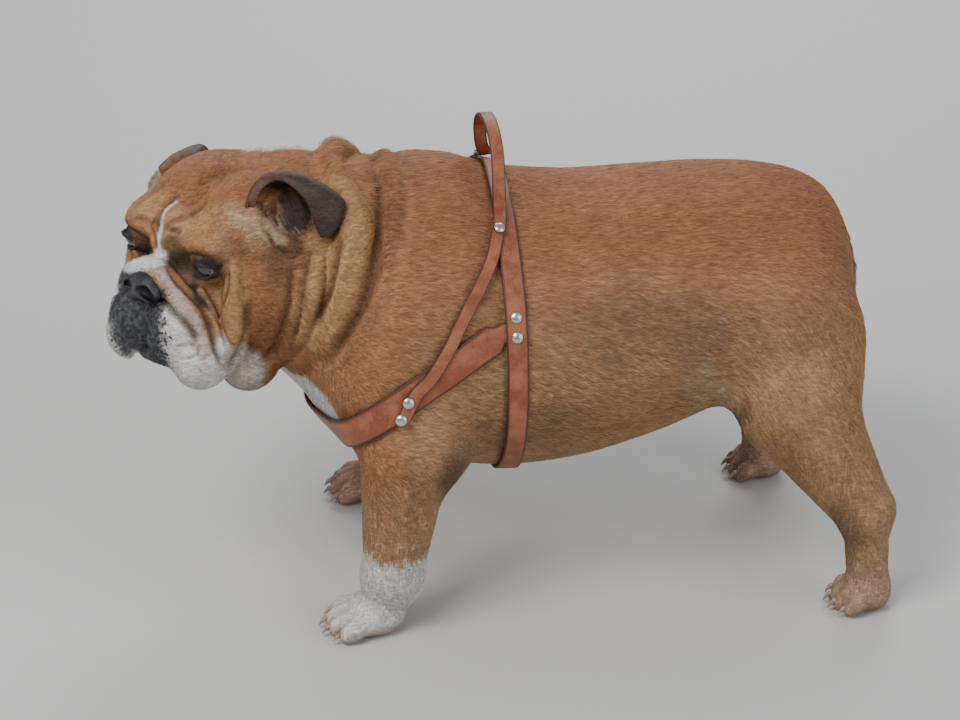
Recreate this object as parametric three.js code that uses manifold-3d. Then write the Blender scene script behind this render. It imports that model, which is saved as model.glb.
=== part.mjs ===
// An English bulldog standing square with its head turned to its left, wearing a leather walking harness.
// Millimetres, +Z up. The dog stands along X with its head towards -X, so its left side faces -Y.
import * as THREE from 'three';
import { edgeTable, triTable } from 'three/addons/objects/MarchingCubes.js';
import { mergeVertices } from 'three/addons/utils/BufferGeometryUtils.js';
import Module from 'manifold-3d';

const wasm = await Module();
wasm.setup();

// Driving dimensions of the dog.
const FORE_STANCE = 250;
const HIND_STANCE = 250;
const STANCE_SHIFT = -9;
const FORE_PAW_X = -211;
const HIND_PAW_X = 202;
const FAR_FORE_PAW_BACK = 19;
const FAR_FORE_PAW_IN = 6;
const FAR_HIND_PAW_FORWARD = 46;
const HEAD_PLACE = [-318, -30, 300];
const HEAD_TURN = 40;
const HEAD_DIP = 3;
const EYE_PLACE = [48.5, 41, 16];
const EYE_RADIUS = 11.5;

// Driving dimensions of the harness.
const LEATHER = 2.4;
const GIRTH_WIDTH = 17.5;
const CHEST_WIDTH = 25;
const THIN_WIDTH = 10.8;
const RIVET_RADIUS = 4.75;
const HANDLE_TOP = 392;

// The gap that neighbouring pieces keep, and how far the leather lies off the skin.
const GAP = 0.3;
const LIFT = 1.2;

const { cos, sin, abs, hypot, min, max, PI } = Math;
const radians = (degrees) => degrees * PI / 180;
const mix = (a, b, t) => a + (b - a) * t;
const clamp = (v, low, high) => min(max(v, low), high);
const dot = (a, b) => a[0] * b[0] + a[1] * b[1] + a[2] * b[2];
const minus = (a, b) => [a[0] - b[0], a[1] - b[1], a[2] - b[2]];
const unit = (v) => v.map((value) => value / (hypot(...v) || 1));
const moved = (p, direction, by) => p.map((value, i) => value + direction[i] * by);
const cross = (a, b) => [a[1] * b[2] - a[2] * b[1], a[2] * b[0] - a[0] * b[2], a[0] * b[1] - a[1] * b[0]];

// A field gives the distance in millimetres from a point to a surface, and is below zero inside it.

// Two surfaces that flow into each other over the width k.
function blend(a, b, k) {
  const h = max(k - abs(a - b), 0) / k;
  return min(a, b) - h * h * k / 4;
}

// A surface a with b taken out of it, its edge rounded over the width k.
const carve = (a, b, k) => -blend(-a, b, k);

// Fields grown onto the first one, each given as [width of the flow, field].
function grown(first, ...others) {
  return (x, y, z) => {
    let d = first(x, y, z);
    for (const [k, field] of others) d = blend(d, field(x, y, z), k);
    return d;
  };
}

// An egg-shaped mass; pitch lifts its -X end and yaw turns it about Z, both in degrees.
function lump([cx, cy, cz], [rx, ry, rz], pitch = 0, yaw = 0) {
  const cp = cos(radians(pitch));
  const sp = sin(radians(pitch));
  const cw = cos(radians(yaw));
  const sw = sin(radians(yaw));
  return (x, y, z) => {
    const ahead = (x - cx) * cw + (y - cy) * sw;
    const px = ahead * cp - (z - cz) * sp;
    const py = -(x - cx) * sw + (y - cy) * cw;
    const pz = ahead * sp + (z - cz) * cp;
    const k0 = hypot(px / rx, py / ry, pz / rz);
    const k1 = hypot(px / rx / rx, py / ry / ry, pz / rz / rz);
    return k1 < 1e-9 ? -min(rx, ry, rz) : k0 * (k0 - 1) / k1;
  };
}

// A limb that tapers from radius ra at a to radius rb at b.
function limb([ax, ay, az], [bx, by, bz], ra, rb) {
  const dx = bx - ax;
  const dy = by - ay;
  const dz = bz - az;
  const length2 = dx * dx + dy * dy + dz * dz;
  return (x, y, z) => {
    const t = clamp(((x - ax) * dx + (y - ay) * dy + (z - az) * dz) / length2, 0, 1);
    return hypot(x - ax - t * dx, y - ay - t * dy, z - az - t * dz) - mix(ra, rb, t);
  };
}

// A roll of skin along a smooth curve through the points, tapering between the radii.
function roll(points, radii, steps = 10) {
  const curve = new THREE.CatmullRomCurve3(points.map((p) => new THREE.Vector3(...p)));
  const places = curve.getPoints(steps).map((p) => p.toArray());
  const radius = (t) => {
    const at = t * (radii.length - 1);
    const i = min(Math.floor(at), radii.length - 2);
    return mix(radii[i], radii[i + 1], at - i);
  };
  const pieces = [];
  for (let i = 0; i < steps; i++) {
    pieces.push(limb(places[i], places[i + 1], radius(i / steps), radius((i + 1) / steps)));
  }
  return (x, y, z) => {
    let d = Infinity;
    for (const piece of pieces) d = min(d, piece(x, y, z));
    return d;
  };
}

// Stations of the trunk along X: back line, widest level, belly line and half width.
const TRUNK = [
  [-253, 236, 214, 194, 24],
  [-238, 288, 214, 164, 68],
  [-206, 334, 214, 126, 110],
  [-150, 350, 212, 107, 129],
  [-90, 339, 212, 99, 135],
  [-30, 332, 214, 105, 136],
  [30, 334, 222, 122, 130],
  [85, 336, 236, 143, 120],
  [135, 332, 248, 160, 111],
  [172, 322, 250, 176, 96],
  [193, 303, 246, 198, 74],
  [206, 266, 240, 218, 28],
];

// A smooth trunk through the stations, sampled every millimetre along X.
function trunkField(stations) {
  const start = stations[0][0];
  const end = stations[stations.length - 1][0];
  const rows = [];
  for (let x = start; x <= end; x++) {
    const i = min(stations.findLastIndex((s) => s[0] <= x), stations.length - 2);
    const at = (j) => stations[clamp(j, 0, stations.length - 1)];
    const width = at(i + 1)[0] - at(i)[0];
    const t = (x - at(i)[0]) / width;
    rows.push([1, 2, 3, 4].map((column) => {
      const slope = (j) => (at(j + 1)[column] - at(j - 1)[column]) / (at(j + 1)[0] - at(j - 1)[0]) * width;
      const a = at(i)[column];
      const b = at(i + 1)[column];
      const hermite = (2 * t ** 3 - 3 * t ** 2 + 1) * a + (3 * t ** 2 - 2 * t ** 3) * b;
      return hermite + (t ** 3 - 2 * t ** 2 + t) * slope(i) + (t ** 3 - t ** 2) * slope(i + 1);
    }));
  }
  const FULLNESS = 2.15;
  return (x, y, z) => {
    const inside = clamp(x, start, end - 1e-6);
    const i = min(Math.floor(inside - start), rows.length - 2);
    const t = inside - start - i;
    const [back, level, belly, half] = rows[i].map((v, j) => mix(v, rows[i + 1][j], t));
    const height = z > level ? back - level : level - belly;
    const across = (abs(y) / half) ** FULLNESS + (abs(z - level) / height) ** FULLNESS;
    const reach = hypot(y, z - level);
    const radial = across < 1e-9 ? -min(half, height) : reach * (1 - across ** (-1 / FULLNESS));
    const beyond = x - inside;
    return beyond === 0 ? radial : hypot(beyond, max(radial, 0));
  };
}

// The trunk with the shoulders and haunches on both sides.
const mirrored = (field) => (x, y, z) => field(x, abs(y), z);
const shoulders = mirrored(grown(
  lump([-180, 90, 218], [60, 48, 78], 12),
  [30, lump([-160, 108, 178], [42, 30, 42])],
));
const breast = mirrored(lump([-212, 36, 193], [38, 48, 46]));
const trunk = grown(trunkField(TRUNK), [40, shoulders], [30, breast]);

// Where each paw stands, and its size; heading is the way its toes turn, in degrees.
const FORE_SIZE = { length: 64, width: 61 };
const HIND_SIZE = { length: 52, width: 53 };
const pawPlaces = {
  forepaw_left: { ...FORE_SIZE, x: FORE_PAW_X, y: -FORE_STANCE / 2 + STANCE_SHIFT, heading: 6 },
  forepaw_right: {
    ...FORE_SIZE,
    x: FORE_PAW_X + FAR_FORE_PAW_BACK,
    y: FORE_STANCE / 2 + STANCE_SHIFT - FAR_FORE_PAW_IN,
    heading: -6,
  },
  hindpaw_left: { ...HIND_SIZE, x: HIND_PAW_X, y: -HIND_STANCE / 2 + STANCE_SHIFT, heading: 5 },
  hindpaw_right: {
    ...HIND_SIZE,
    x: HIND_PAW_X - FAR_HIND_PAW_FORWARD,
    y: HIND_STANCE / 2 + STANCE_SHIFT,
    heading: -5,
  },
};
const TOES = [-1.5, -0.5, 0.5, 1.5];

// Points along one toe in the paw's own frame: its root, its knuckle and its tip; n counts from the middle.
function toeLine({ length, width }, n) {
  const reach = length * (abs(n) < 1 ? 0.36 : 0.26);
  const r = width * 0.125;
  return {
    r,
    root: [-length * 0.02, n * width * 0.19, 15.5],
    knuckle: [-reach * 0.8, n * width * 0.24, 11],
    tip: [-reach - 2, n * width * 0.25, r],
  };
}

// A paw: a pad, four toes that spread a little, and a flat sole at z 0.
function paw(place) {
  const c = cos(radians(place.heading));
  const s = sin(radians(place.heading));
  const pad = lump([place.length * 0.1, 0, 13], [place.length * 0.36, place.width * 0.4, 17]);
  const toes = TOES.map((n) => {
    const { r, root, knuckle, tip } = toeLine(place, n);
    return grown(limb(root, knuckle, r * 1.05, r * 1.12), [4, limb(knuckle, tip, r * 1.1, r)]);
  });
  return (x, y, z) => {
    const px = (x - place.x) * c + (y - place.y) * s;
    const py = -(x - place.x) * s + (y - place.y) * c;
    let d = Infinity;
    for (const toe of toes) d = blend(d, toe(px, py, z), 3);
    return blend(d, pad(px, py, z), 10);
  };
}

// The forelegs are short, thick and set wide, straight in front and a little bowed outside.
function foreleg(side, place) {
  const { x, y } = place;
  const wrist = [x + 23, y, 50];
  return grown(
    limb([-188, side * 98, 205], [-163, side * 120, 162], 46, 38),
    [24, lump([-153, side * 122 + STANCE_SHIFT / 2, 160], [20, 20, 24])],
    [20, limb([-176, side * 121 + STANCE_SHIFT / 2, 150], wrist, 37, 24.5)],
    [14, limb(wrist, [x + 15, y, 22], 24, 18.5)],
    [12, paw(place)],
  );
}

// The hind legs have a heavy thigh, a bent hock and a short upright pastern.
function hindleg(side, place) {
  const { x, y } = place;
  const hock = [x - 3, y, 90];
  return grown(
    lump([146, side * 82, 214], [60, 43, 80]),
    [30, limb([90 + x * 0.3, side * 104, 165], hock, 46, 26)],
    [10, lump([x + 5, y, 92], [12, 13, 18])],
    [12, limb([x, y, 84], [x + 3, y, 30], 20, 17.5)],
    [12, paw(place)],
  );
}

const legs = [
  [14, foreleg(-1, pawPlaces.forepaw_left)],
  [14, foreleg(1, pawPlaces.forepaw_right)],
  [24, hindleg(-1, pawPlaces.hindpaw_left)],
  [24, hindleg(1, pawPlaces.hindpaw_right)],
];

// The thick neck, with two heavy rolls of loose skin round it and a dewlap under it.
const NECK_MIDDLE = -8;
const onNeck = (field) => (x, y, z) => field(x, abs(y - NECK_MIDDLE), z);
const neck = grown(
  limb([-165, 0, 246], [-262, -12, 288], 98, 80),
  [24, lump([-270, 16, 338], [42, 28, 24])],
  [30, lump([-246, -12, 228], [34, 46, 30])],
);
const rearRoll = roll(
  [[-229, 0, 361], [-222, 40, 354], [-212, 66, 334], [-217, 82, 303], [-224, 87, 274], [-240, 80, 246],
    [-256, 58, 218], [-262, 20, 204]],
  [10, 13, 16, 16, 16, 15, 14, 12], 16,
);
const frontRoll = roll(
  [[-262, 0, 347], [-258, 40, 341], [-246, 61, 321], [-246, 79, 298], [-250, 85, 274], [-259, 78, 246],
    [-272, 56, 220], [-278, 20, 208]],
  [11, 11, 9, 11, 12, 12, 11, 9], 16,
);
const neckRolls = onNeck(grown(rearRoll, [3, frontRoll]));

// The head is built in its own frame: forwards, sideways from the middle, and up.
const turn = radians(HEAD_TURN);
const dip = radians(HEAD_DIP);
const FORWARDS = [-cos(turn) * cos(dip), -sin(turn) * cos(dip), -sin(dip)];
const LEFTWARDS = [sin(turn), -cos(turn), 0];
const UPWARDS = [-cos(turn) * sin(dip), -sin(turn) * sin(dip), cos(dip)];

// The place in the dog's frame of a point given in the head's frame.
function headPoint([f, l, u]) {
  return [0, 1, 2].map((i) => HEAD_PLACE[i] + f * FORWARDS[i] + l * LEFTWARDS[i] + u * UPWARDS[i]);
}

// A head field, with both sides alike, seen from the dog's frame.
function onHead(field) {
  return (x, y, z) => {
    const p = [x - HEAD_PLACE[0], y - HEAD_PLACE[1], z - HEAD_PLACE[2]];
    return field(dot(p, FORWARDS), abs(dot(p, LEFTWARDS)), dot(p, UPWARDS));
  };
}

const skull = grown(
  lump([-16, 28, 20], [64, 43, 48]),
  [14, lump([40, 35, 31], [21, 21, 15.5])],
  [20, lump([-6, 56, -24], [46, 34, 46])],
  [22, lump([42, 0, -34], [42, 46, 42])],
  [14, lump([43, 0, 27], [24, 19, 25])],
);
const noseRoll = roll([[69, 0, 8], [71, 17, 1], [68, 31, -14], [62, 40, -31], [54, 43, -53], [46, 47, -72]],
  [11, 11, 11, 11, 10, 9], 12);
const eyeFold = roll(
  [[54, 37, -6], [54, 45, -23], [51, 51, -41], [48, 52, -57], [42, 53, -72]],
  [3.5, 5, 6, 6, 5],
);
const cheekRoll = roll([[33, 54, 18], [38, 58, -10], [39, 57, -40], [34, 52, -66]], [4, 10, 12, 10]);
const flews = grown(
  lump([74, 22, -42], [22, 24, 28]),
  [10, lump([60, 40, -62], [28, 22, 28])],
);
const pouch = lump([16, 46, -84], [26, 22, 22]);

// The lids: a cover of skin over the eyeball, with an opening that droops at its lower edge.
const GAZE = 22;
const [eyeF, eyeL, eyeU] = EYE_PLACE;
const lidCover = lump(
  [eyeF - 1.5, eyeL - 1, eyeU],
  [EYE_RADIUS + 2.6, EYE_RADIUS + 2, EYE_RADIUS + 2.2],
  0,
  GAZE,
);
const onEye = (across, up, out) => {
  const [a, e] = [across + GAZE, up].map(radians);
  const r = EYE_RADIUS + out;
  return [eyeF + r * cos(e) * cos(a), eyeL + r * cos(e) * sin(a), eyeU + r * sin(e)];
};
const lidLine = (places, out) => places.map(([across, up]) => onEye(across, up, out));
const upperLid = roll(
  lidLine([[-44, -8], [-24, 11], [0, 18], [24, 12], [42, -4]], 0.7),
  [2.2, 3.5, 3.7, 3.2, 2],
);
const lowerLid = roll(
  lidLine([[-44, -18], [-24, -36], [0, -42], [24, -35], [42, -16]], 0.5),
  [2, 2.9, 2.9, 2],
);
const opening = lump(onEye(0, -11, 3), [9, 10.2, 4], 0, GAZE);

// The burr of the ear: a hollow behind the cheek with a rim of loose skin in front of it and below it.
const EAR_HOLLOW = [-20, 66, 44];
const earHollow = lump(EAR_HOLLOW, [14, 13, 18]);
const earRim = roll([[8, 55, 52], [5, 68, 38], [-4, 76, 24], [-20, 78, 17], [-36, 72, 22]], [5, 6, 7, 6, 5]);

// The line of the mouth under the flews, the cleft of the upper lip, and the furrow of the brow.
const mouthLine = roll(
  [[92, 0, -50], [89, 10, -60], [80, 22, -73], [68, 34, -84], [54, 43, -89], [44, 47, -90]],
  [2, 3, 3.5, 3.2, 2.4, 1.4],
);
const lipCleft = limb([97, 0, -16], [95, 0, -50], 2, 2.4);
const browFurrow = roll([[69, 0, 26], [62, 0, 45], [44, 0, 62], [14, 0, 74]], [2, 2.5, 2.8, 2], 6);

const head = (x, y, z) => {
  let d = grownHead(x, y, z);
  d = carve(d, opening(x, y, z), 2);
  d = carve(d, mouthLine(x, y, z), 4);
  d = carve(d, lipCleft(x, y, z), 5);
  d = carve(d, browFurrow(x, y, z), 8);
  return carve(d, earHollow(x, y, z), 6);
};
const grownHead = grown(
  skull,
  [6, noseRoll],
  [4, eyeFold],
  [4, cheekRoll],
  [8, flews],
  [10, pouch],
  [6, lidCover],
  [3.5, upperLid],
  [3.5, lowerLid],
  [6, earRim],
);

// The nose pad with its nostrils, and the lower jaw that shows between the flews.
const nose = (x, y, z) => {
  const pad = noseShape(x, y, z);
  return carve(carve(pad, nostril(x, y, z), 1.5), philtrum(x, y, z), 2);
};
const noseShape = grown(lump([80, 0, -4], [13, 16, 11.5]), [5, lump([84, 11, -6], [8, 8.5, 7.5])]);
const nostril = roll([[92.5, 6, -1.5], [91, 10, -2.5], [88, 14, -6], [84, 16.5, -11]], [2.8, 4.6, 3.8, 2.2], 6);
const philtrum = limb([96, 0, 4], [95, 0, -22], 1.6, 1.6);
const jaw = grown(
  lump([48, 0, -66], [30, 28, 18]),
  [4, roll([[79, 0, -66], [73, 15, -69], [58, 27, -75]], [6.5, 6.5, 6])],
);

// The tail is a short screwed stub, thick at the root.
const tail = grown(
  roll([[156, 0, 294], [179, 0, 291], [193, -2, 277], [196, -4, 258]], [16, 13, 11, 6]),
  [8, lump([194, 1, 272], [9, 10, 11])],
);

// The whole of the dog's flesh, without ears, eyes, nose, jaw and tail.
const flesh = grown(
  trunk,
  [40, neck],
  [7, neckRolls],
  [10, onHead(head)],
  ...legs,
);

// The surface of a field inside a box, as points and triangles, by marching cubes.
function netted(field, low, high, cell) {
  const counts = low.map((v, i) => Math.ceil((high[i] - v) / cell) + 1);
  const [nx, ny, nz] = counts;
  const values = new Float32Array(nx * ny * nz);
  const index = (i, j, k) => i + nx * (j + ny * k);
  const place = (i, j, k) => [low[0] + i * cell, low[1] + j * cell, low[2] + k * cell];
  const BLOCK = 5;
  const far = BLOCK * cell * 1.6;
  for (let k = 0; k < nz; k += BLOCK) {
    for (let j = 0; j < ny; j += BLOCK) {
      for (let i = 0; i < nx; i += BLOCK) {
        const middle = field(...place(i + BLOCK / 2, j + BLOCK / 2, k + BLOCK / 2));
        for (let kk = k; kk < min(k + BLOCK, nz); kk++) {
          for (let jj = j; jj < min(j + BLOCK, ny); jj++) {
            for (let ii = i; ii < min(i + BLOCK, nx); ii++) {
              const onEdge = !ii || !jj || !kk || ii === nx - 1 || jj === ny - 1 || kk === nz - 1;
              const value = abs(middle) > far ? middle : field(...place(ii, jj, kk));
              values[index(ii, jj, kk)] = onEdge ? max(value, cell * 0.01) : value;
            }
          }
        }
      }
    }
  }
  const CORNERS = [
    [0, 0, 0], [1, 0, 0], [1, 1, 0], [0, 1, 0], [0, 0, 1], [1, 0, 1], [1, 1, 1], [0, 1, 1],
  ];
  const EDGES = [
    [0, 1], [1, 2], [2, 3], [3, 0], [4, 5], [5, 6], [6, 7], [7, 4], [0, 4], [1, 5], [2, 6], [3, 7],
  ];
  const points = [];
  const triangles = [];
  const made = new Map();
  const NEAR = 0.04;
  const pointOn = (i, j, k, edge) => {
    const [a, b] = EDGES[edge].map((n) => [i + CORNERS[n][0], j + CORNERS[n][1], k + CORNERS[n][2]]);
    const ia = index(...a);
    const ib = index(...b);
    const key = min(ia, ib) * 4 + [0, 1, 2].find((n) => a[n] !== b[n]);
    if (!made.has(key)) {
      const t = clamp(values[ia] / (values[ia] - values[ib]), NEAR, 1 - NEAR);
      const pa = place(...a);
      const pb = place(...b);
      made.set(key, points.length);
      points.push(pa.map((v, n) => mix(v, pb[n], t)));
    }
    return made.get(key);
  };
  for (let k = 0; k < nz - 1; k++) {
    for (let j = 0; j < ny - 1; j++) {
      for (let i = 0; i < nx - 1; i++) {
        let kind = 0;
        CORNERS.forEach((c, n) => {
          if (values[index(i + c[0], j + c[1], k + c[2])] < 0) kind |= 1 << n;
        });
        if (!edgeTable[kind]) continue;
        for (let n = kind * 16; triTable[n] !== -1; n += 3) {
          triangles.push([0, 2, 1].map((m) => pointOn(i, j, k, triTable[n + m])));
        }
      }
    }
  }
  return { points, triangles };
}

// A mesh with fewer triangles: the edges that matter least to the shape are folded up first.
function thinned({ points, triangles }, wanted, weight = () => 1) {
  const faces = triangles.map((t) => [...t]);
  const alive = new Uint8Array(faces.length).fill(1);
  const around = points.map(() => new Set());
  faces.forEach((face, n) => face.forEach((v) => around[v].add(n)));
  const area = (a, b, c) => cross(minus(b, a), minus(c, a));
  const quadrics = points.map(() => new Float64Array(10));
  const STEADY = 0.002;
  for (const face of faces) {
    const [a, b, c] = face.map((v) => points[v]);
    const n = area(a, b, c);
    const size = hypot(...n) || 1e-9;
    const [p, q, r] = n.map((v) => v / size);
    const s = -(p * a[0] + q * a[1] + r * a[2]);
    const w = size * weight(a);
    const add = [p * p, p * q, p * r, p * s, q * q, q * r, q * s, r * r, r * s, s * s];
    for (const v of face) {
      const [x, y, z] = points[v];
      const hold = [1, 0, 0, -x, 1, 0, -y, 1, -z, x * x + y * y + z * z];
      for (let i = 0; i < 10; i++) quadrics[v][i] += w * (add[i] + STEADY * hold[i]);
    }
  }
  const worth = (q, [x, y, z]) => q[0] * x * x + 2 * q[1] * x * y + 2 * q[2] * x * z + 2 * q[3] * x
    + q[4] * y * y + 2 * q[5] * y * z + 2 * q[6] * y + q[7] * z * z + 2 * q[8] * z + q[9];
  const best = (u, v) => {
    const q = quadrics[u].map((value, i) => value + quadrics[v][i]);
    const m = new THREE.Matrix3(q[0], q[1], q[2], q[1], q[4], q[5], q[2], q[5], q[7]);
    const middle = points[u].map((value, i) => (value + points[v][i]) / 2);
    const choices = [middle, points[u], points[v]];
    if (abs(m.determinant()) > 1e-6) {
      const solved = new THREE.Vector3(-q[3], -q[6], -q[8]).applyMatrix3(m.invert()).toArray();
      const length = hypot(...points[u].map((value, i) => value - points[v][i]));
      if (hypot(...solved.map((value, i) => value - middle[i])) < length) choices.unshift(solved);
    }
    return choices.map((p) => [worth(q, p), p]).reduce((a, b) => (b[0] < a[0] ? b : a));
  };
  const heap = [];
  const push = (item) => {
    let i = heap.push(item) - 1;
    while (i > 0) {
      const up = (i - 1) >> 1;
      if (heap[up][0] <= heap[i][0]) break;
      [heap[up], heap[i]] = [heap[i], heap[up]];
      i = up;
    }
  };
  const pop = () => {
    const top = heap[0];
    const last = heap.pop();
    if (heap.length) heap[0] = last;
    for (let i = 0; ;) {
      const l = 2 * i + 1;
      if (l >= heap.length) break;
      const least = l + 1 < heap.length && heap[l + 1][0] < heap[l][0] ? l + 1 : l;
      if (heap[i][0] <= heap[least][0]) break;
      [heap[least], heap[i]] = [heap[i], heap[least]];
      i = least;
    }
    return top;
  };
  const stamp = new Uint32Array(points.length);
  const offer = (u, v) => {
    const [cost, p] = best(u, v);
    push([cost, u, v, stamp[u] + stamp[v] * 1e6, p]);
  };
  const neighbours = (v) => {
    const found = new Set();
    for (const n of around[v]) for (const w of faces[n]) if (w !== v) found.add(w);
    return found;
  };
  points.forEach((_, v) => neighbours(v).forEach((w) => v < w && offer(v, w)));
  const turns = (u, v, p) => [...around[u]].some((n) => {
    if (faces[n].includes(v)) return false;
    const before = area(...faces[n].map((w) => points[w]));
    const after = area(...faces[n].map((w) => (w === u ? p : points[w])));
    return dot(before, after) < 0.25 * hypot(...before) * hypot(...after) || hypot(...after) < 1e-3;
  });
  let left = faces.length;
  while (left > wanted && heap.length) {
    const [, u, v, mark, p] = pop();
    if (mark !== stamp[u] + stamp[v] * 1e6 || !around[u].size || !around[v].size) continue;
    const near = neighbours(u);
    if (!near.has(v)) continue;
    const shared = [...neighbours(v)].filter((w) => near.has(w));
    if (shared.length !== 2 || turns(u, v, p) || turns(v, u, p)) continue;
    for (const n of [...around[u]]) {
      if (!faces[n].includes(v)) continue;
      alive[n] = 0;
      left--;
      faces[n].forEach((w) => around[w].delete(n));
    }
    for (const n of around[v]) {
      faces[n] = faces[n].map((w) => (w === v ? u : w));
      around[u].add(n);
    }
    around[v] = new Set();
    points[u] = p;
    for (let i = 0; i < 10; i++) quadrics[u][i] += quadrics[v][i];
    stamp[u]++;
    neighbours(u).forEach((w) => offer(min(u, w), max(u, w)));
  }
  return { points, triangles: faces.filter((_, n) => alive[n]) };
}

// A closed mesh as a solid that can be joined and cut.
function solidOf({ points, triangles }) {
  const used = new Map();
  const triVerts = new Uint32Array(triangles.flat().map((v) => {
    if (!used.has(v)) used.set(v, used.size);
    return used.get(v);
  }));
  const vertProperties = new Float32Array([...used.keys()].flatMap((v) => points[v]));
  return new wasm.Manifold(new wasm.Mesh({ numProp: 3, vertProperties, triVerts }));
}

// A closed three.js geometry as a solid.
function solidFrom(geometry) {
  geometry.deleteAttribute('normal');
  geometry.deleteAttribute('uv');
  const merged = mergeVertices(geometry);
  return new wasm.Manifold(new wasm.Mesh({
    numProp: 3,
    vertProperties: merged.attributes.position.array,
    triVerts: new Uint32Array(merged.index.array),
  }));
}

// The largest closed piece of a solid.
function largest(solid) {
  return solid.decompose().reduce((a, b) => (b.volume() > a.volume() ? b : a));
}

// A solid as three.js geometry.
function geometryOf(solid) {
  const { numProp, vertProperties, triVerts, numVert } = solid.getMesh();
  const position = new Float32Array(numVert * 3);
  for (let i = 0; i < numVert; i++) {
    position.set(vertProperties.subarray(i * numProp, i * numProp + 3), i * 3);
  }
  const geometry = new THREE.BufferGeometry();
  geometry.setAttribute('position', new THREE.BufferAttribute(position, 3));
  geometry.setIndex(new THREE.BufferAttribute(triVerts, 1));
  return geometry;
}

// A closed mesh moved outwards everywhere, to cut the seat that another piece lies in.
function swollen({ points, triangles }, by = GAP) {
  const normals = points.map(() => [0, 0, 0]);
  for (const face of triangles) {
    const [a, b, c] = face.map((v) => points[v]);
    const n = cross(minus(b, a), minus(c, a));
    face.forEach((v) => n.forEach((value, i) => { normals[v][i] += value; }));
  }
  return { points: points.map((p, v) => moved(p, unit(normals[v]), by)), triangles };
}

// A closed skin through rings of equally many points; each ring lists one face and then the other, backwards.
function lofted(rings, closed = false) {
  const m = rings[0].length;
  const points = rings.flat();
  const triangles = [];
  const last = closed ? rings.length : rings.length - 1;
  for (let i = 0; i < last; i++) {
    for (let k = 0; k < m; k++) {
      const [a, b] = [i * m + k, i * m + (k + 1) % m];
      const [c, d] = [b, a].map((v) => (v + m) % points.length);
      triangles.push([a, b, c], [a, c, d]);
    }
  }
  if (!closed) {
    const end = points.length - m;
    for (let k = 0; k < m / 2 - 1; k++) {
      const quad = [k, k + 1, m - 2 - k, m - 1 - k];
      triangles.push([quad[0], quad[2], quad[1]], [quad[0], quad[3], quad[2]]);
      const [a, b, c, d] = quad.map((v) => v + end);
      triangles.push([a, b, c], [a, c, d]);
    }
  }
  const volume = triangles.reduce((sum, t) => sum + dot(points[t[0]], cross(points[t[1]], points[t[2]])), 0);
  return { points, triangles: volume < 0 ? triangles.map(([a, b, c]) => [a, c, b]) : triangles };
}

// The direction in which the skin faces at a place.
function outward(p) {
  const STEP = 0.5;
  const slope = [0, 1, 2].map((i) => {
    const shift = [0, 1, 2].map((j) => (i === j ? STEP : 0));
    return flesh(...moved(p, shift, 1)) - flesh(...moved(p, shift, -1));
  });
  return unit(slope);
}

// The nearest place on the skin, found by stepping along the way it faces.
function settled(p) {
  let q = p;
  for (let n = 0; n < 12; n++) q = moved(q, outward(q), -flesh(...q));
  return q;
}

// Evenly spaced points on a smooth curve through the guides.
function along(guides, count) {
  const curve = new THREE.CatmullRomCurve3(guides.map((p) => new THREE.Vector3(...p)), false, 'centripetal');
  return curve.getSpacedPoints(count - 1).map((p) => p.toArray());
}

// The cross section of a strap at a place, from its across and outward directions.
function strapSection(place, across, out, width, thickness, lay) {
  const EDGE = 1;
  const half = width / 2;
  const at = (c, h) => (lay ? lay(moved(place, across, c), h) : moved(moved(place, across, c), out, h));
  return [
    at(-half, thickness * 0.55), at(-half + EDGE, thickness), at(0, thickness), at(half - EDGE, thickness),
    at(half, thickness * 0.55), at(half, 0), at(0, 0), at(-half, 0),
  ];
}

// A strap that lies on the skin along a path; lift and width may change along it, from 0 to 1.
function strapOnSkin(path, { width, lift, thickness = () => LEATHER, closed = false }) {
  const count = path.length;
  const rings = path.map((place, i) => {
    const t = i / (count - 1);
    const before = path[closed ? (i + count - 1) % count : max(i - 1, 0)];
    const after = path[closed ? (i + 1) % count : min(i + 1, count - 1)];
    const out = outward(place);
    const across = unit(cross(minus(after, before), out));
    const lay = (p, h) => {
      const q = settled(p);
      return moved(q, outward(q), lift(t, q) + h);
    };
    return strapSection(place, across, out, width(t), thickness(t), lay);
  });
  return lofted(rings, closed);
}

// A smooth step from 0 to 1 as t goes from a to b.
const ease = (t, a, b) => {
  const s = clamp((t - a) / (b - a), 0, 1);
  return s * s * (3 - 2 * s);
};

// A piece of a solid on the side of a plane that its normal points to, cut back by half a gap.
const beyond = (solid, { point, normal }, back = GAP / 2) => {
  const facing = unit(normal);
  return solid.trimByPlane(facing, dot(facing, point) + back);
};
const reversed = ({ point, normal }) => ({ point, normal: normal.map((v) => -v) });

// The part of a solid inside several planes, and what is left outside of them.
const within = (solid, planes) => planes.reduce((rest, plane) => beyond(rest, plane), solid);
const without = (solid, planes) => {
  const everywhere = solidFrom(new THREE.BoxGeometry(1500, 1500, 1500));
  return solid.subtract(planes.reduce((rest, plane) => beyond(rest, plane, -GAP / 2), everywhere));
};

const bulldog = new THREE.Group();
function add(name, solid, material) {
  const mesh = new THREE.Mesh(geometryOf(largest(solid)), material);
  mesh.name = name;
  bulldog.add(mesh);
}

function finish(color, roughness, metalness = 0) {
  return new THREE.MeshStandardMaterial({ color, roughness, metalness });
}
const coat = finish(0xa9683a, 0.85);
const darkCoat = finish(0x4a3228, 0.85);
const noseSkin = finish(0x1c1a1b, 0.5);
const eyeGlass = finish(0x1f130d, 0.1);
const horn = finish(0x4d4038, 0.5);
const leather = finish(0x8c4a34, 0.6);
const nickel = finish(0xc4c0b8, 0.25, 1);

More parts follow.
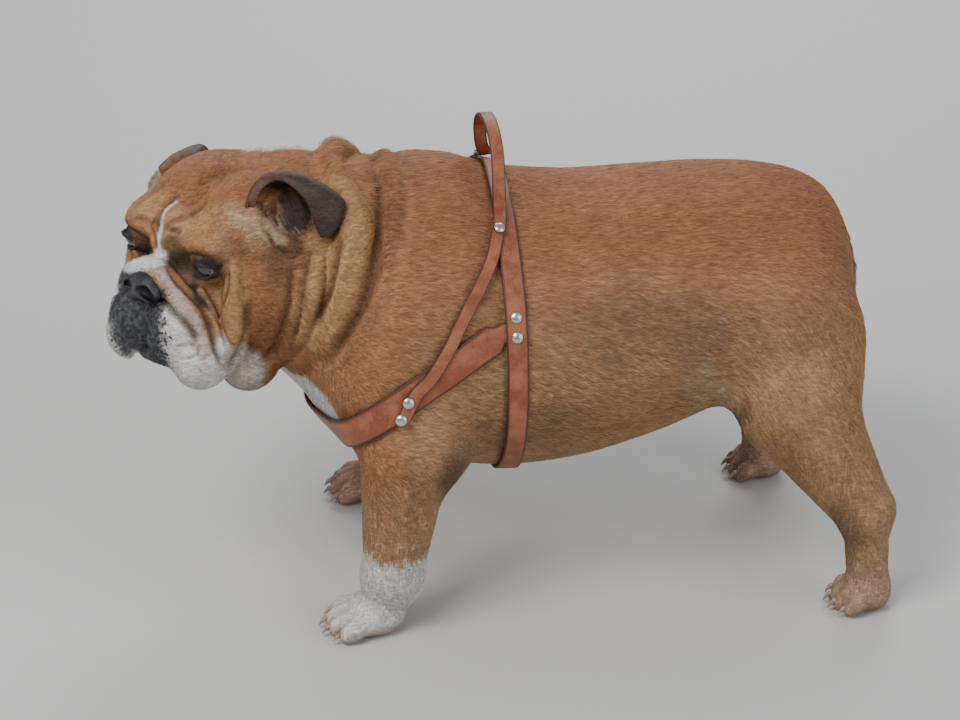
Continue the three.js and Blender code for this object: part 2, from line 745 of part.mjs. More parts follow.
// The planes that part the flesh: behind the cheeks, in front of the shoulders, and at each leg and wrist.
const HEAD_SEAM = { point: [-244, -84, 290], normal: [-0.86, -0.31, 0.4] };
const NECK_SEAM = { point: [-200, 0, 330], normal: [-0.956, 0, 0.292] };
const foreSeams = (side) => [
  { point: [-190, side * 64, 118], normal: [0, side * 0.82, -0.57] },
  { point: [-119, 0, 0], normal: [-1, 0, 0] },
  { point: [-233, 0, 0], normal: [1, 0, 0] },
];
const hindSeams = (side) => [
  { point: [150, side * 42, 150], normal: [0, side * 0.86, -0.5] },
  { point: [90, 0, 150], normal: [0.956, 0, -0.294] },
];
const WRIST = { point: [0, 0, 44], normal: [0, 0, -1] };
const PASTERN = { point: [0, 0, 40], normal: [0, 0, -1] };

// The jaw, nose and eyes first, since the head is cut to take them.
const jawMesh = thinned(netted(onHead(jaw), [-420, -120, 190], [-300, 20, 270], 3), 170);
const noseMesh = thinned(netted(onHead(nose), [-420, -120, 265], [-355, -40, 320], 1.5), 460);
const tailMesh = thinned(netted(tail, [140, -24, 246], [222, 24, 326], 4), 240);

// Finest round the eyes, then on the face.
const eyeMiddles = [1, -1].map((side) => headPoint([eyeF + 8, side * eyeL, eyeU]));
const faceCare = (p) => {
  if (eyeMiddles.some((eye) => hypot(...minus(p, eye)) < 26)) return 14;
  return p[0] < -310 ? 3 : 1;
};
const headMesh = thinned(netted(flesh, [-430, -150, 180], [-215, 90, 385], 2.5), 2750, faceCare);
const neckMesh = thinned(netted(flesh, [-345, -150, 140], [-160, 130, 395], 4.5), 2100);
const bodyMesh = thinned(netted(flesh, [-330, -175, -2], [240, 170, 395], 7), 4100);
const body = solidOf(bodyMesh);

const sides = [['left', 1], ['right', -1]];
function eyeball(side, radius) {
  const sphere = new THREE.SphereGeometry(radius, 14, 9).rotateX(PI / 2);
  return solidFrom(sphere.translate(...headPoint([eyeF, side * eyeL, eyeU])));
}
let headRest = beyond(solidOf(headMesh), HEAD_SEAM);
for (const mesh of [jawMesh, noseMesh]) headRest = headRest.subtract(solidOf(swollen(mesh)));
for (const [, side] of sides) headRest = headRest.subtract(eyeball(side, EYE_RADIUS + GAP));
add('lower_jaw', solidOf(jawMesh), coat);
add('nose', solidOf(noseMesh), noseSkin);
for (const [name, side] of sides) add(`eye_${name}`, eyeball(side, EYE_RADIUS), eyeGlass);

let neckRest = within(solidOf(neckMesh), [NECK_SEAM, reversed(HEAD_SEAM)]);
let torso = beyond(body, reversed(NECK_SEAM)).subtract(solidOf(swollen(tailMesh)));
const FLOOR = { point: [0, 0, 0], normal: [0, 0, 1] };

// A claw in the paw's frame: a short curved horn at the tip of each toe, its point clear of the floor.
function claw(place, n) {
  const c = cos(radians(place.heading));
  const s = sin(radians(place.heading));
  const { r, tip: [tx, ty] } = toeLine(place, n);
  const stations = [[3, 9, 2.6], [-1.5, 7.6, 2.2], [-4.5, 3.4, 0.8]];
  const rings = stations.map(([ahead, up, radius]) => Array.from({ length: 6 }, (_, k) => {
    const a = (k + 0.5) * PI / 3;
    const [x, y] = [tx - r + ahead, ty + radius * 0.8 * cos(a)];
    return [place.x + x * c - y * s, place.y + x * s + y * c, up + radius * sin(a)];
  }));
  return lofted(rings);
}

for (const [name, side] of [['left', -1], ['right', 1]]) {
  torso = without(without(torso, foreSeams(side)), hindSeams(side));
  for (const [end, seams, cut] of [['fore', foreSeams(side), WRIST], ['hind', hindSeams(side), PASTERN]]) {
    add(`${end}leg_${name}`, beyond(within(body, seams), reversed(cut)), coat);
    const place = pawPlaces[`${end}paw_${name}`];
    const low = [place.x - 50, place.y - 44, -6];
    const high = [place.x + 56, place.y + 44, cut.point[2] + 9];
    const mesh = thinned(netted(flesh, low, high, 3.4), 280);
    let pawRest = beyond(beyond(solidOf(mesh), cut), FLOOR, 0);
    TOES.forEach((n, i) => {
      const horns = claw(place, n);
      pawRest = pawRest.subtract(solidOf(swollen(horns)));
      add(`claw_${end}_${name}_${i + 1}`, solidOf(horns), horn);
    });
    add(`${end}paw_${name}`, pawRest, coat);
  }
}
add('torso', torso, coat);
add('tail', solidOf(tailMesh), coat);

// The ears, folded back like a rose: each column runs from the root over the crest to the free edge.
const EAR_COLUMNS = [
  [[12, 50, 53], [13, 51, 57], [13, 53, 60], [11, 55, 58], [9, 56, 55]],
  [[1, 46, 60], [0, 48, 68], [-3, 52, 74], [-3, 56, 73], [-1, 58, 70]],
  [[-18, 44, 60], [-21, 48, 69], [-22, 56, 75.5], [-19, 62, 75.5], [-15, 64, 72.5]],
  [[-36, 48, 54], [-38, 58, 64], [-36, 75, 70.5], [-29, 84, 68], [-20, 84, 61]],
  [[-45, 55, 40], [-49, 72, 48], [-48, 97, 54.5], [-36, 101, 54], [-22, 90, 46]],
  [[-43, 63, 28], [-46, 79, 36], [-42, 100, 44], [-33, 103, 40], [-23.5, 92, 36.5]],
  [[-39, 67, 22], [-41, 82, 27], [-38, 97, 33.5], [-32, 99.5, 29], [-26, 94.5, 28]],
];
const EAR_THICKNESS = 3.4;
// The right ear is folded lower and closer to the skull.
const foldedFlat = ([f, l, u]) => {
  const spread = max(l - 54, 0);
  return [f - 0.2 * spread, l - 0.45 * spread, min(u, 60 + (u - 60) * 0.3) - 0.3 * spread];
};

// The ear's sheet with its thickness, on the left (side 1) or the right (side -1).
function earMesh(side) {
  const rows = EAR_COLUMNS.map((column) => along(side > 0 ? column : column.map(foldedFlat), 6));
  const columns = rows[0].map((_, k) => along(rows.map((row) => row[k]), 12));
  const sheet = columns[0].map((_, i) => columns.map((line) => line[i]));
  const at = (i, k) => sheet[clamp(i, 0, sheet.length - 1)][clamp(k, 0, sheet[0].length - 1)];
  const rings = sheet.map((line, i) => {
    const faces = [1, -1].map((way) => line.map((p, k) => {
      const n = unit(cross(minus(at(i + 1, k), at(i - 1, k)), minus(at(i, k + 1), at(i, k - 1))));
      const edge = k === line.length - 1 || i === 0 || i === sheet.length - 1 ? 0.5 : 1;
      return moved(p, n, way * EAR_THICKNESS * edge / 2);
    }));
    return [...faces[0], ...faces[1].reverse()].map(([f, l, u]) => headPoint([f, side * l, u]));
  });
  return lofted(rings);
}
for (const [name, side] of sides) {
  const mesh = earMesh(side);
  const ear = solidOf(mesh);
  const seat = solidOf(swollen(mesh, 1.5 * GAP)).add(ear);
  headRest = headRest.subtract(seat);
  neckRest = neckRest.subtract(seat);
  add(`ear_${name}`, ear, darkCoat);
}
add('head', headRest, coat);
add('neck', neckRest, coat);

// The girth strap goes right round the trunk behind the elbows, under the handle.
const BODY_MIDDLE = 215;
const girthX = (z) => -86 - 5 * ((z - BODY_MIDDLE) / 125) ** 2;
const girthPath = Array.from({ length: 40 }, (_, i) => {
  const a = (i + 0.5) / 40 * 2 * PI;
  let p = [girthX(BODY_MIDDLE), 150 * sin(a), BODY_MIDDLE + 130 * cos(a)];
  for (let n = 0; n < 3; n++) {
    const q = settled(p);
    p = [girthX(q[2]), q[1], q[2]];
  }
  return settled(p);
});
const TAB_PLACE = 262;
const TAB_LIFT = 2.3;
const girthLift = (t, [, , z]) => LIFT + TAB_LIFT * (1 - ease(abs(z - TAB_PLACE), 18, 34));
const girth = strapOnSkin(girthPath, { width: () => GIRTH_WIDTH, lift: girthLift, closed: true });
add('girth_strap', solidOf(girth), leather);

// The chest strap crosses the front of the chest; each end narrows to a thin tab under the girth strap.
const CHEST_GUIDES = [
  [-84, -129, 262], [-98, -129, 258], [-127, -136, 241.5], [-150, -142, 228], [-178, -148, 211],
  [-202, -144, 193], [-219, -128, 177], [-231, -98, 164.5], [-243, -58, 155],
];
const mirrorY = ([x, y, z]) => [x, -y, z];
const chestPath = along(
  [...CHEST_GUIDES, [-249, 0, 150], ...CHEST_GUIDES.map(mirrorY).reverse()].map(settled), 38,
).map(settled);
const CHEST_TAB_WIDTH = 16;
const TAB_THICKNESS = 1.1;
const chestTab = (t) => 1 - ease(min(t, 1 - t), 0.028, 0.04);
add('chest_strap', solidOf(strapOnSkin(chestPath, {
  width: (t) => mix(CHEST_WIDTH, CHEST_TAB_WIDTH, chestTab(t)),
  lift: () => LIFT,
  thickness: (t) => mix(LEATHER, TAB_THICKNESS, chestTab(t)),
})), leather);

// The thin strap runs from the chest strap up over the girth strap, and on as the handle above the back.
const OVER = LIFT + LEATHER + GAP + 0.1;
const SIDE_GUIDES = [
  [-182, -152, 192], [-170, -146, 216], [-157, -142, 229], [-141, -135, 253], [-123, -121, 281],
  [-105.5, -99, 305], [-98.2, -77.4, 320.3],
];
for (const [name, side] of [['left', -1], ['right', 1]]) {
  const guides = SIDE_GUIDES.map(([x, y, z]) => settled([x, -side * y, z]));
  const path = along(guides, 18).map(settled);
  add(`side_strap_${name}`, solidOf(strapOnSkin(path, {
    width: (t) => THIN_WIDTH * (t < 0.02 ? 0.62 : 1),
    lift: (t) => LIFT + (OVER - LIFT) * (1 - ease(t, 0.42, 0.5) * (1 - ease(t, 0.62, 0.7))),
  })), leather);
}

// The handle: a loop of the thin strap that stands clear of the back between the two upper rivets.
const handleSide = [[-96.8, -74.6, 322.4], [-94.8, -65, 328.6], [-94, -55, 334]].map((p) => {
  const foot = settled(p);
  return moved(foot, outward(foot), OVER + 2);
});
const HANDLE_GUIDES = [
  ...handleSide,
  [-93, -51, 354], [-93, -40, 374], [-94, -22, HANDLE_TOP - 6], [-96, 0, HANDLE_TOP - 1],
  [-98, 22, HANDLE_TOP - 6], [-99, 40, 371], [-97, 50, 350],
  ...handleSide.map(mirrorY).reverse(),
];
const handlePath = along(HANDLE_GUIDES, 30);
const handleRings = handlePath.map((place, i) => {
  const ahead = unit(minus(handlePath[min(i + 1, handlePath.length - 1)], handlePath[max(i - 1, 0)]));
  const across = unit(moved([1, 0, 0], ahead, -ahead[0]));
  const out = cross(ahead, across);
  const up = dot(out, minus(place, [-98, 0, 300])) < 0 ? out.map((v) => -v) : out;
  return strapSection(place, across, up, THIN_WIDTH, LEATHER);
});
const handle = solidOf(lofted(handleRings));
add('handle_strap', handle, leather);

// A domed rivet head standing on the leather at a place on the skin.
const RIVET_PROFILE = [
  [0, 0], [RIVET_RADIUS, 0], [RIVET_RADIUS * 0.88, 0.9], [RIVET_RADIUS * 0.5, 1.8], [0, 2],
];
const RIVETS = [
  ['top', [-97.5, -76, 321.4], OVER + LEATHER + 2.9],
  ['girth_upper', [-87, -123, 269], LIFT + TAB_LIFT + LEATHER],
  ['girth_lower', [-86.5, -129, 255], LIFT + TAB_LIFT + LEATHER],
  ['chest_upper', [-175.5, -148, 211], OVER + LEATHER],
  ['chest_lower', [-181, -151, 197.5], OVER + LEATHER],
];
for (const [name, side] of [['left', -1], ['right', 1]]) {
  for (const [where, place, height] of RIVETS) {
    const foot = settled([place[0], -side * place[1], place[2]]);
    const out = new THREE.Vector3(...outward(foot));
    const dome = new THREE.LatheGeometry(RIVET_PROFILE.map(([r, h]) => new THREE.Vector2(r, h)), 8);
    dome.applyQuaternion(new THREE.Quaternion().setFromUnitVectors(new THREE.Vector3(0, 1, 0), out));
    dome.translate(...moved(foot, out.toArray(), height + GAP));
    const mesh = new THREE.Mesh(dome, nickel);
    mesh.name = `rivet_${where}_${name}`;
    bulldog.add(mesh);
  }
}

// The buckle of the girth strap, low on the dog's right side; s runs down the strap, c across it, h above it.
const BUCKLE_Z = 196;
const WIRE = 1.5;
const BILLET_LIFT = LEATHER + GAP + 0.1;
const BILLET_THICKNESS = 2;
const BILLET_WIDTH = 15;
const CHAPE_WIDTH = 14;
const BILLET_TOP = GAP + 0.1 + BILLET_THICKNESS;
const buckleMiddle = settled([girthX(BUCKLE_Z), 140, BUCKLE_Z]);
const downStrap = unit(cross(outward(buckleMiddle), [1, 0, 0]));
const acrossStrap = unit(cross(outward(buckleMiddle), downStrap));
function onGirth(s, c, h) {
  const p = settled(moved(buckleMiddle, downStrap, s));
  return moved(moved(p, acrossStrap, c), outward(p), LIFT + LEATHER + h);
}
const onStrapPath = (from, to, count) => Array.from(
  { length: count },
  (_, i) => settled(moved(buckleMiddle, downStrap, mix(from, to, i / (count - 1)))),
);

// A round wire through points, each given with its own radius.
function wire(points, radii, closed) {
  const n = points.length;
  const middle = points.reduce((sum, p) => moved(sum, p, 1 / n), [0, 0, 0]);
  const axis = outward(middle);
  const rings = points.map((p, i) => {
    const after = points[closed ? (i + 1) % n : min(i + 1, n - 1)];
    const before = points[closed ? (i + n - 1) % n : max(i - 1, 0)];
    const ahead = unit(minus(after, before));
    const side = unit(cross(ahead, axis));
    const up = cross(side, ahead);
    return Array.from({ length: 6 }, (_, k) => {
      const a = (k + 0.5) * PI / 3;
      return moved(moved(p, side, radii[i] * cos(a)), up, radii[i] * sin(a));
    });
  });
  return lofted(rings, closed);
}

const FRAME_HALF = 13;
const FRAME_BACK = -11;
const FRAME_FRONT = 9;
const barHeight = (s) => mix(2.3, BILLET_TOP + GAP + WIRE, (s - FRAME_BACK) / (FRAME_FRONT - FRAME_BACK));
const corner = 3;
const framePoints = [
  [FRAME_BACK, -FRAME_HALF + corner], [FRAME_BACK, 0], [FRAME_BACK, FRAME_HALF - corner],
  [FRAME_BACK + corner, FRAME_HALF], [FRAME_FRONT - corner, FRAME_HALF],
  [FRAME_FRONT, FRAME_HALF - corner], [FRAME_FRONT, 0], [FRAME_FRONT, -FRAME_HALF + corner],
  [FRAME_FRONT - corner, -FRAME_HALF], [FRAME_BACK + corner, -FRAME_HALF],
].map(([s, c]) => onGirth(s, c, barHeight(s)));
const frameMesh = wire(framePoints, framePoints.map(() => WIRE), true);
add('buckle_frame', solidOf(frameMesh), nickel);
const tonguePoints = [[-7.6, 3.6], [0, 5.2], [9, 7.4], [12.5, 7.1]].map(([s, h]) => onGirth(s, 0, h));
add('buckle_tongue', solidOf(wire(tonguePoints, [1.2, 1.2, 1.1, 0.9], false)), nickel);
add('girth_billet', solidOf(strapOnSkin(onStrapPath(-4, 62, 9), {
  width: (t) => BILLET_WIDTH * (t > 0.99 ? 0.35 : t > 0.85 ? 0.85 : 1),
  lift: () => LIFT + BILLET_LIFT,
  thickness: () => BILLET_THICKNESS,
})), leather);
const CHAPE_FOLD = 4.4;
const chape = strapOnSkin(onStrapPath(-31, -8.6, 8), {
  width: () => CHAPE_WIDTH,
  lift: () => LIFT + BILLET_LIFT,
  thickness: (t) => mix(BILLET_THICKNESS, CHAPE_FOLD, ease(t, 0.5, 0.75)),
});
add('girth_chape', solidOf(chape).subtract(solidOf(swollen(frameMesh))), leather);
const KEEPER_HALF = GIRTH_WIDTH / 2 + 0.5;
const KEEPER_TOP = BILLET_TOP + 0.7;
const keeperPath = [[KEEPER_HALF, 0.6 - LEATHER], [KEEPER_HALF, KEEPER_TOP], [-KEEPER_HALF, KEEPER_TOP],
  [-KEEPER_HALF, 0.6 - LEATHER]];
const keeperRings = keeperPath.map(([c, h], i) => {
  const thick = 1.6;
  const [dc, dh] = [Math.sign(c) * thick, i === 1 || i === 2 ? thick : 0];
  return [onGirth(20, c, h), onGirth(26, c, h), onGirth(26, c + dc, h + dh), onGirth(20, c + dc, h + dh)];
});
add('strap_keeper', solidOf(lofted(keeperRings)), leather);

// The origin is under the middle of the whole dog, on the floor.
const extent = new THREE.Box3().setFromObject(bulldog);
const middle = extent.getCenter(new THREE.Vector3());
bulldog.position.set(-middle.x, -middle.y, -extent.min.z);

export default bulldog;
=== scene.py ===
import math

import bmesh
import bpy
import numpy as np
import openvdb
from mathutils import Matrix, Vector


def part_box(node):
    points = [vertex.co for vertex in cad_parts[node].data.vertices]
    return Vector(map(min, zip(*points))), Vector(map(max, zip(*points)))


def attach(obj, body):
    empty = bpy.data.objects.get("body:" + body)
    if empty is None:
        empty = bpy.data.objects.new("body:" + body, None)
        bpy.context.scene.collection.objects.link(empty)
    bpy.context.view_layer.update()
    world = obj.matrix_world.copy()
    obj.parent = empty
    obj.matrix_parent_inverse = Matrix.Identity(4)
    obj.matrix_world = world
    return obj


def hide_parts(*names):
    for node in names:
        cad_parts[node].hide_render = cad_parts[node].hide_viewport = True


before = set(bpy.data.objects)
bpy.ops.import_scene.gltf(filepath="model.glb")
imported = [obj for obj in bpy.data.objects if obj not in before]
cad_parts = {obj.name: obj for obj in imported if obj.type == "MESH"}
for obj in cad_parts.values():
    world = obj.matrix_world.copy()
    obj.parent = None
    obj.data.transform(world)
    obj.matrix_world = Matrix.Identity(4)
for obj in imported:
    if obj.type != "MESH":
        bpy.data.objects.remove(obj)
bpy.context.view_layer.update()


# The dog's flesh: one skin over a heavy, low-slung trunk on four short legs, with a wide folded head.
# It is worked out in millimetres as a distance field, in a frame with the head towards -X and the floor at
# z = 0, and lies inside the outer form by the depth of the coat.
COAT_DEPTH = 1.2
FORE_STANCE = 250
HIND_STANCE = 250
STANCE_SHIFT = -9
FORE_PAW_X = -211
HIND_PAW_X = 202
FAR_FORE_PAW_BACK = 19
FAR_FORE_PAW_IN = 6
FAR_HIND_PAW_FORWARD = 46
HEAD_PLACE = np.array([-318, -30, 300.0])
HEAD_TURN = math.radians(40)
HEAD_DIP = math.radians(3)
EYE_PLACE = np.array([48.5, 41, 16])
EYE_RADIUS = 11.5


def blend(a, b, k):
    """Two surfaces that flow into each other over the width k."""
    h = np.maximum(k - np.abs(a - b), 0) / k
    return np.minimum(a, b) - h * h * k / 4


def carve(a, b, k):
    """Surface a with b taken out of it, its edge rounded over the width k."""
    return -blend(-a, b, k)


def grown(first, *others):
    """Fields grown onto the first one, each given as (width of the flow, field)."""
    def field(x, y, z):
        d = first(x, y, z)
        for k, other in others:
            d = blend(d, other(x, y, z), k)
        return d
    return field


def lump(centre, radii, pitch=0, yaw=0):
    """An egg-shaped mass; pitch lifts its -X end and yaw turns it about Z, in degrees."""
    (cx, cy, cz), (rx, ry, rz) = centre, radii
    cp, sp = math.cos(math.radians(pitch)), math.sin(math.radians(pitch))
    cw, sw = math.cos(math.radians(yaw)), math.sin(math.radians(yaw))

    def field(x, y, z):
        ahead = (x - cx) * cw + (y - cy) * sw
        px = ahead * cp - (z - cz) * sp
        py = (y - cy) * cw - (x - cx) * sw
        pz = ahead * sp + (z - cz) * cp
        k0 = np.sqrt((px / rx) ** 2 + (py / ry) ** 2 + (pz / rz) ** 2)
        k1 = np.sqrt((px / rx ** 2) ** 2 + (py / ry ** 2) ** 2 + (pz / rz ** 2) ** 2)
        return k0 * (k0 - 1) / np.maximum(k1, 1e-6)
    return field


def limb(a, b, ra, rb):
    """A limb that tapers from radius ra at a to radius rb at b."""
    (ax, ay, az), (bx, by, bz) = a, b
    dx, dy, dz = bx - ax, by - ay, bz - az
    length2 = dx * dx + dy * dy + dz * dz

    def field(x, y, z):
        t = np.clip(((x - ax) * dx + (y - ay) * dy + (z - az) * dz) / length2, 0, 1)
        away = np.sqrt((x - ax - t * dx) ** 2 + (y - ay - t * dy) ** 2 + (z - az - t * dz) ** 2)
        return away - (ra + (rb - ra) * t)
    return field


def smooth_path(guides, count):
    """Points on a smooth curve through the guides, evenly spread between them."""
    g = np.asarray(guides, float)
    ends = np.vstack([2 * g[0] - g[1], g, 2 * g[-1] - g[-2]])
    at = np.linspace(0, len(g) - 1, count)
    i = np.minimum(at.astype(int), len(g) - 2)
    t = (at - i)[:, None]
    p0, p1, p2, p3 = ends[i], ends[i + 1], ends[i + 2], ends[i + 3]
    bend = (2 * p0 - 5 * p1 + 4 * p2 - p3) * t ** 2 + (3 * p1 - p0 - 3 * p2 + p3) * t ** 3
    return 0.5 * (2 * p1 + (p2 - p0) * t + bend)


def roll(points, radii, steps=10):
    """A roll of skin along a smooth curve, tapering between the radii."""
    path = smooth_path(points, steps + 1)
    widths = np.interp(np.linspace(0, 1, steps + 1), np.linspace(0, 1, len(radii)), radii)
    pieces = [limb(path[i], path[i + 1], widths[i], widths[i + 1]) for i in range(steps)]

    def field(x, y, z):
        d = pieces[0](x, y, z)
        for piece in pieces[1:]:
            d = np.minimum(d, piece(x, y, z))
        return d
    return field


# Stations of the trunk along X: back line, widest level, belly line and half width.
TRUNK = np.array([
    [-253, 236, 214, 194, 24],
    [-238, 288, 214, 164, 68],
    [-206, 334, 214, 126, 110],
    [-150, 350, 212, 107, 129],
    [-90, 339, 212, 99, 135],
    [-30, 332, 214, 105, 136],
    [30, 334, 222, 122, 130],
    [85, 336, 236, 143, 120],
    [135, 332, 248, 160, 111],
    [172, 322, 250, 176, 96],
    [193, 303, 246, 198, 74],
    [206, 266, 240, 218, 28.0],
])
FULLNESS = 2.15


def trunk_rows():
    """The trunk's four measures at every millimetre along X, smooth through the stations."""
    s = TRUNK
    x = np.arange(s[0, 0], s[-1, 0] + 1)
    i = np.clip(np.searchsorted(s[:, 0], x, side="right") - 1, 0, len(s) - 2)
    before, after = np.maximum(i - 1, 0), np.minimum(i + 2, len(s) - 1)
    width = (s[i + 1, 0] - s[i, 0])[:, None]
    t = (x - s[i, 0])[:, None] / width
    a, b = s[i, 1:], s[i + 1, 1:]
    slope_a = (b - s[before, 1:]) / (s[i + 1, 0] - s[before, 0])[:, None] * width
    slope_b = (s[after, 1:] - a) / (s[after, 0] - s[i, 0])[:, None] * width
    level = (2 * t ** 3 - 3 * t ** 2 + 1) * a + (3 * t ** 2 - 2 * t ** 3) * b
    return x, level + (t ** 3 - 2 * t ** 2 + t) * slope_a + (t ** 3 - t ** 2) * slope_b


TRUNK_X, TRUNK_ROWS = trunk_rows()


def trunk_tube(x, y, z):
    inside = np.clip(x, TRUNK_X[0], TRUNK_X[-1])
    back, level, belly, half = (np.interp(inside, TRUNK_X, TRUNK_ROWS[:, k]) for k in range(4))
    height = np.where(z > level, back - level, level - belly)
    across = (np.abs(y) / half) ** FULLNESS + (np.abs(z - level) / height) ** FULLNESS
    reach = np.hypot(y, z - level)
    safe = np.maximum(across, 1e-9)
    radial = np.where(across < 1e-9, -np.minimum(half, height), reach * (1 - safe ** (-1 / FULLNESS)))
    past = x - inside
    return np.where(past == 0, radial, np.hypot(past, np.maximum(radial, 0)))


def mirrored(field):
    return lambda x, y, z: field(x, np.abs(y), z)


shoulders = mirrored(grown(
    lump([-180, 90, 218], [60, 48, 78], 12),
    (30, lump([-160, 108, 178], [42, 30, 42])),
))
breast = mirrored(lump([-212, 36, 193], [38, 48, 46]))
trunk = grown(trunk_tube, (40, shoulders), (30, breast))

# Where each paw stands, and its size; heading is the way its toes turn, in degrees.
PAWS = {
    "forepaw_left": (FORE_PAW_X, -FORE_STANCE / 2 + STANCE_SHIFT, 64, 61, 6),
    "forepaw_right": (
        FORE_PAW_X + FAR_FORE_PAW_BACK, FORE_STANCE / 2 + STANCE_SHIFT - FAR_FORE_PAW_IN, 64, 61, -6),
    "hindpaw_left": (HIND_PAW_X, -HIND_STANCE / 2 + STANCE_SHIFT, 52, 53, 5),
    "hindpaw_right": (HIND_PAW_X - FAR_HIND_PAW_FORWARD, HIND_STANCE / 2 + STANCE_SHIFT, 52, 53, -5),
}
TOES = (-1.5, -0.5, 0.5, 1.5)


def toe_line(length, width, n):
    """One toe in the paw's own frame: its radius, root, knuckle and tip; n counts from the middle."""
    reach = length * (0.36 if abs(n) < 1 else 0.26)
    r = width * 0.125
    root = [-length * 0.02, n * width * 0.19, 15.5]
    return r, root, [-reach * 0.8, n * width * 0.24, 11], [-reach - 2, n * width * 0.25, r]


def paw(place):
    """A paw: a pad and four toes that spread a little."""
    px, py, length, width, heading = place
    c, s = math.cos(math.radians(heading)), math.sin(math.radians(heading))
    pad = lump([length * 0.1, 0, 13], [length * 0.36, width * 0.4, 17])
    toes = []
    for n in TOES:
        r, root, knuckle, tip = toe_line(length, width, n)
        toes.append(grown(limb(root, knuckle, r * 1.05, r * 1.12), (4, limb(knuckle, tip, r * 1.1, r))))

    def field(x, y, z):
        ax = (x - px) * c + (y - py) * s
        ay = (y - py) * c - (x - px) * s
        d = toes[0](ax, ay, z)
        for toe in toes[1:]:
            d = blend(d, toe(ax, ay, z), 3)
        return blend(d, pad(ax, ay, z), 10)
    return field


def foreleg(side, place):
    """Short, thick and set wide, straight in front and a little bowed outside."""
    x, y = place[:2]
    wrist = [x + 23, y, 50]
    return grown(
        limb([-188, side * 98, 205], [-163, side * 120, 162], 46, 38),
        (24, lump([-153, side * 122 + STANCE_SHIFT / 2, 160], [20, 20, 24])),
        (20, limb([-176, side * 121 + STANCE_SHIFT / 2, 150], wrist, 37, 24.5)),
        (14, limb(wrist, [x + 15, y, 22], 24, 18.5)),
        (12, paw(place)),
    )


def hindleg(side, place):
    """A heavy thigh, a bent hock and a short upright pastern."""
    x, y = place[:2]
    hock = [x - 3, y, 90]
    return grown(
        lump([146, side * 82, 214], [60, 43, 80]),
        (30, limb([90 + x * 0.3, side * 104, 165], hock, 46, 26)),
        (10, lump([x + 5, y, 92], [12, 13, 18])),
        (12, limb([x, y, 84], [x + 3, y, 30], 20, 17.5)),
        (12, paw(place)),
    )


legs = (
    (14, foreleg(-1, PAWS["forepaw_left"])),
    (14, foreleg(1, PAWS["forepaw_right"])),
    (24, hindleg(-1, PAWS["hindpaw_left"])),
    (24, hindleg(1, PAWS["hindpaw_right"])),
)

# The thick neck, with two heavy rolls of loose skin round it and a dewlap under it.
NECK_MIDDLE = -8
neck = grown(
    limb([-165, 0, 246], [-262, -12, 288], 98, 80),
    (24, lump([-270, 16, 338], [42, 28, 24])),
    (30, lump([-246, -12, 228], [34, 46, 30])),
)
rear_roll = roll(
    [[-229, 0, 361], [-222, 40, 354], [-212, 66, 334], [-217, 82, 303], [-224, 87, 274], [-240, 80, 246],
     [-256, 58, 218], [-262, 20, 204]],
    [10, 13, 16, 16, 16, 15, 14, 12], 16)
front_roll = roll(
    [[-262, 0, 347], [-258, 40, 341], [-246, 61, 321], [-246, 79, 298], [-250, 85, 274], [-259, 78, 246],
     [-272, 56, 220], [-278, 20, 208]],
    [11, 11, 9, 11, 12, 12, 11, 9], 16)
both_rolls = grown(rear_roll, (3, front_roll))

# The head's own frame: forwards, sideways from the middle, and up.
TURN_COS, TURN_SIN = math.cos(HEAD_TURN), math.sin(HEAD_TURN)
DIP_COS, DIP_SIN = math.cos(HEAD_DIP), math.sin(HEAD_DIP)
FORWARDS = np.array([-TURN_COS * DIP_COS, -TURN_SIN * DIP_COS, -DIP_SIN])
LEFTWARDS = np.array([TURN_SIN, -TURN_COS, 0])
UPWARDS = np.array([-TURN_COS * DIP_SIN, -TURN_SIN * DIP_SIN, DIP_COS])
HEAD_AXES = np.array([FORWARDS, LEFTWARDS, UPWARDS])


def head_point(p):
    """The dog's frame from the head's frame, for one point or many."""
    return HEAD_PLACE + np.asarray(p, float) @ HEAD_AXES


def in_head(p):
    """The head's frame from the dog's frame."""
    return (p - HEAD_PLACE) @ HEAD_AXES.T


skull = grown(
    lump([-16, 28, 20], [64, 43, 48]),
    (14, lump([40, 35, 31], [21, 21, 15.5])),
    (20, lump([-6, 56, -24], [46, 34, 46])),
    (22, lump([42, 0, -34], [42, 46, 42])),
    (14, lump([43, 0, 27], [24, 19, 25])),
)
nose_roll = roll([[69, 0, 8], [71, 17, 1], [68, 31, -14], [62, 40, -31], [54, 43, -53], [46, 47, -72]],
                 [11, 11, 11, 11, 10, 9], 12)
eye_fold = roll([[54, 37, -6], [54, 45, -23], [51, 51, -41], [48, 52, -57], [42, 53, -72]],
                [3.5, 5, 6, 6, 5])
cheek_roll = roll([[33, 54, 18], [38, 58, -10], [39, 57, -40], [34, 52, -66]], [4, 10, 12, 10])
flews = grown(lump([74, 22, -42], [22, 24, 28]), (10, lump([60, 40, -62], [28, 22, 28])))
pouch = lump([16, 46, -84], [26, 22, 22])

# The lids: a cover of skin over the eyeball, with an opening that droops at its lower edge.
GAZE = 22
lid_cover = lump([EYE_PLACE[0] - 1.5, EYE_PLACE[1] - 1, EYE_PLACE[2]],
                 [EYE_RADIUS + 2.6, EYE_RADIUS + 2, EYE_RADIUS + 2.2], 0, GAZE)


def on_eye(across, up, out):
    """A place over the eyeball, given by its angles from the gaze and its height above the eyeball."""
    a, e = math.radians(across + GAZE), math.radians(up)
    r = EYE_RADIUS + out
    turned = np.array([math.cos(e) * math.cos(a), math.cos(e) * math.sin(a), math.sin(e)])
    return EYE_PLACE + r * turned


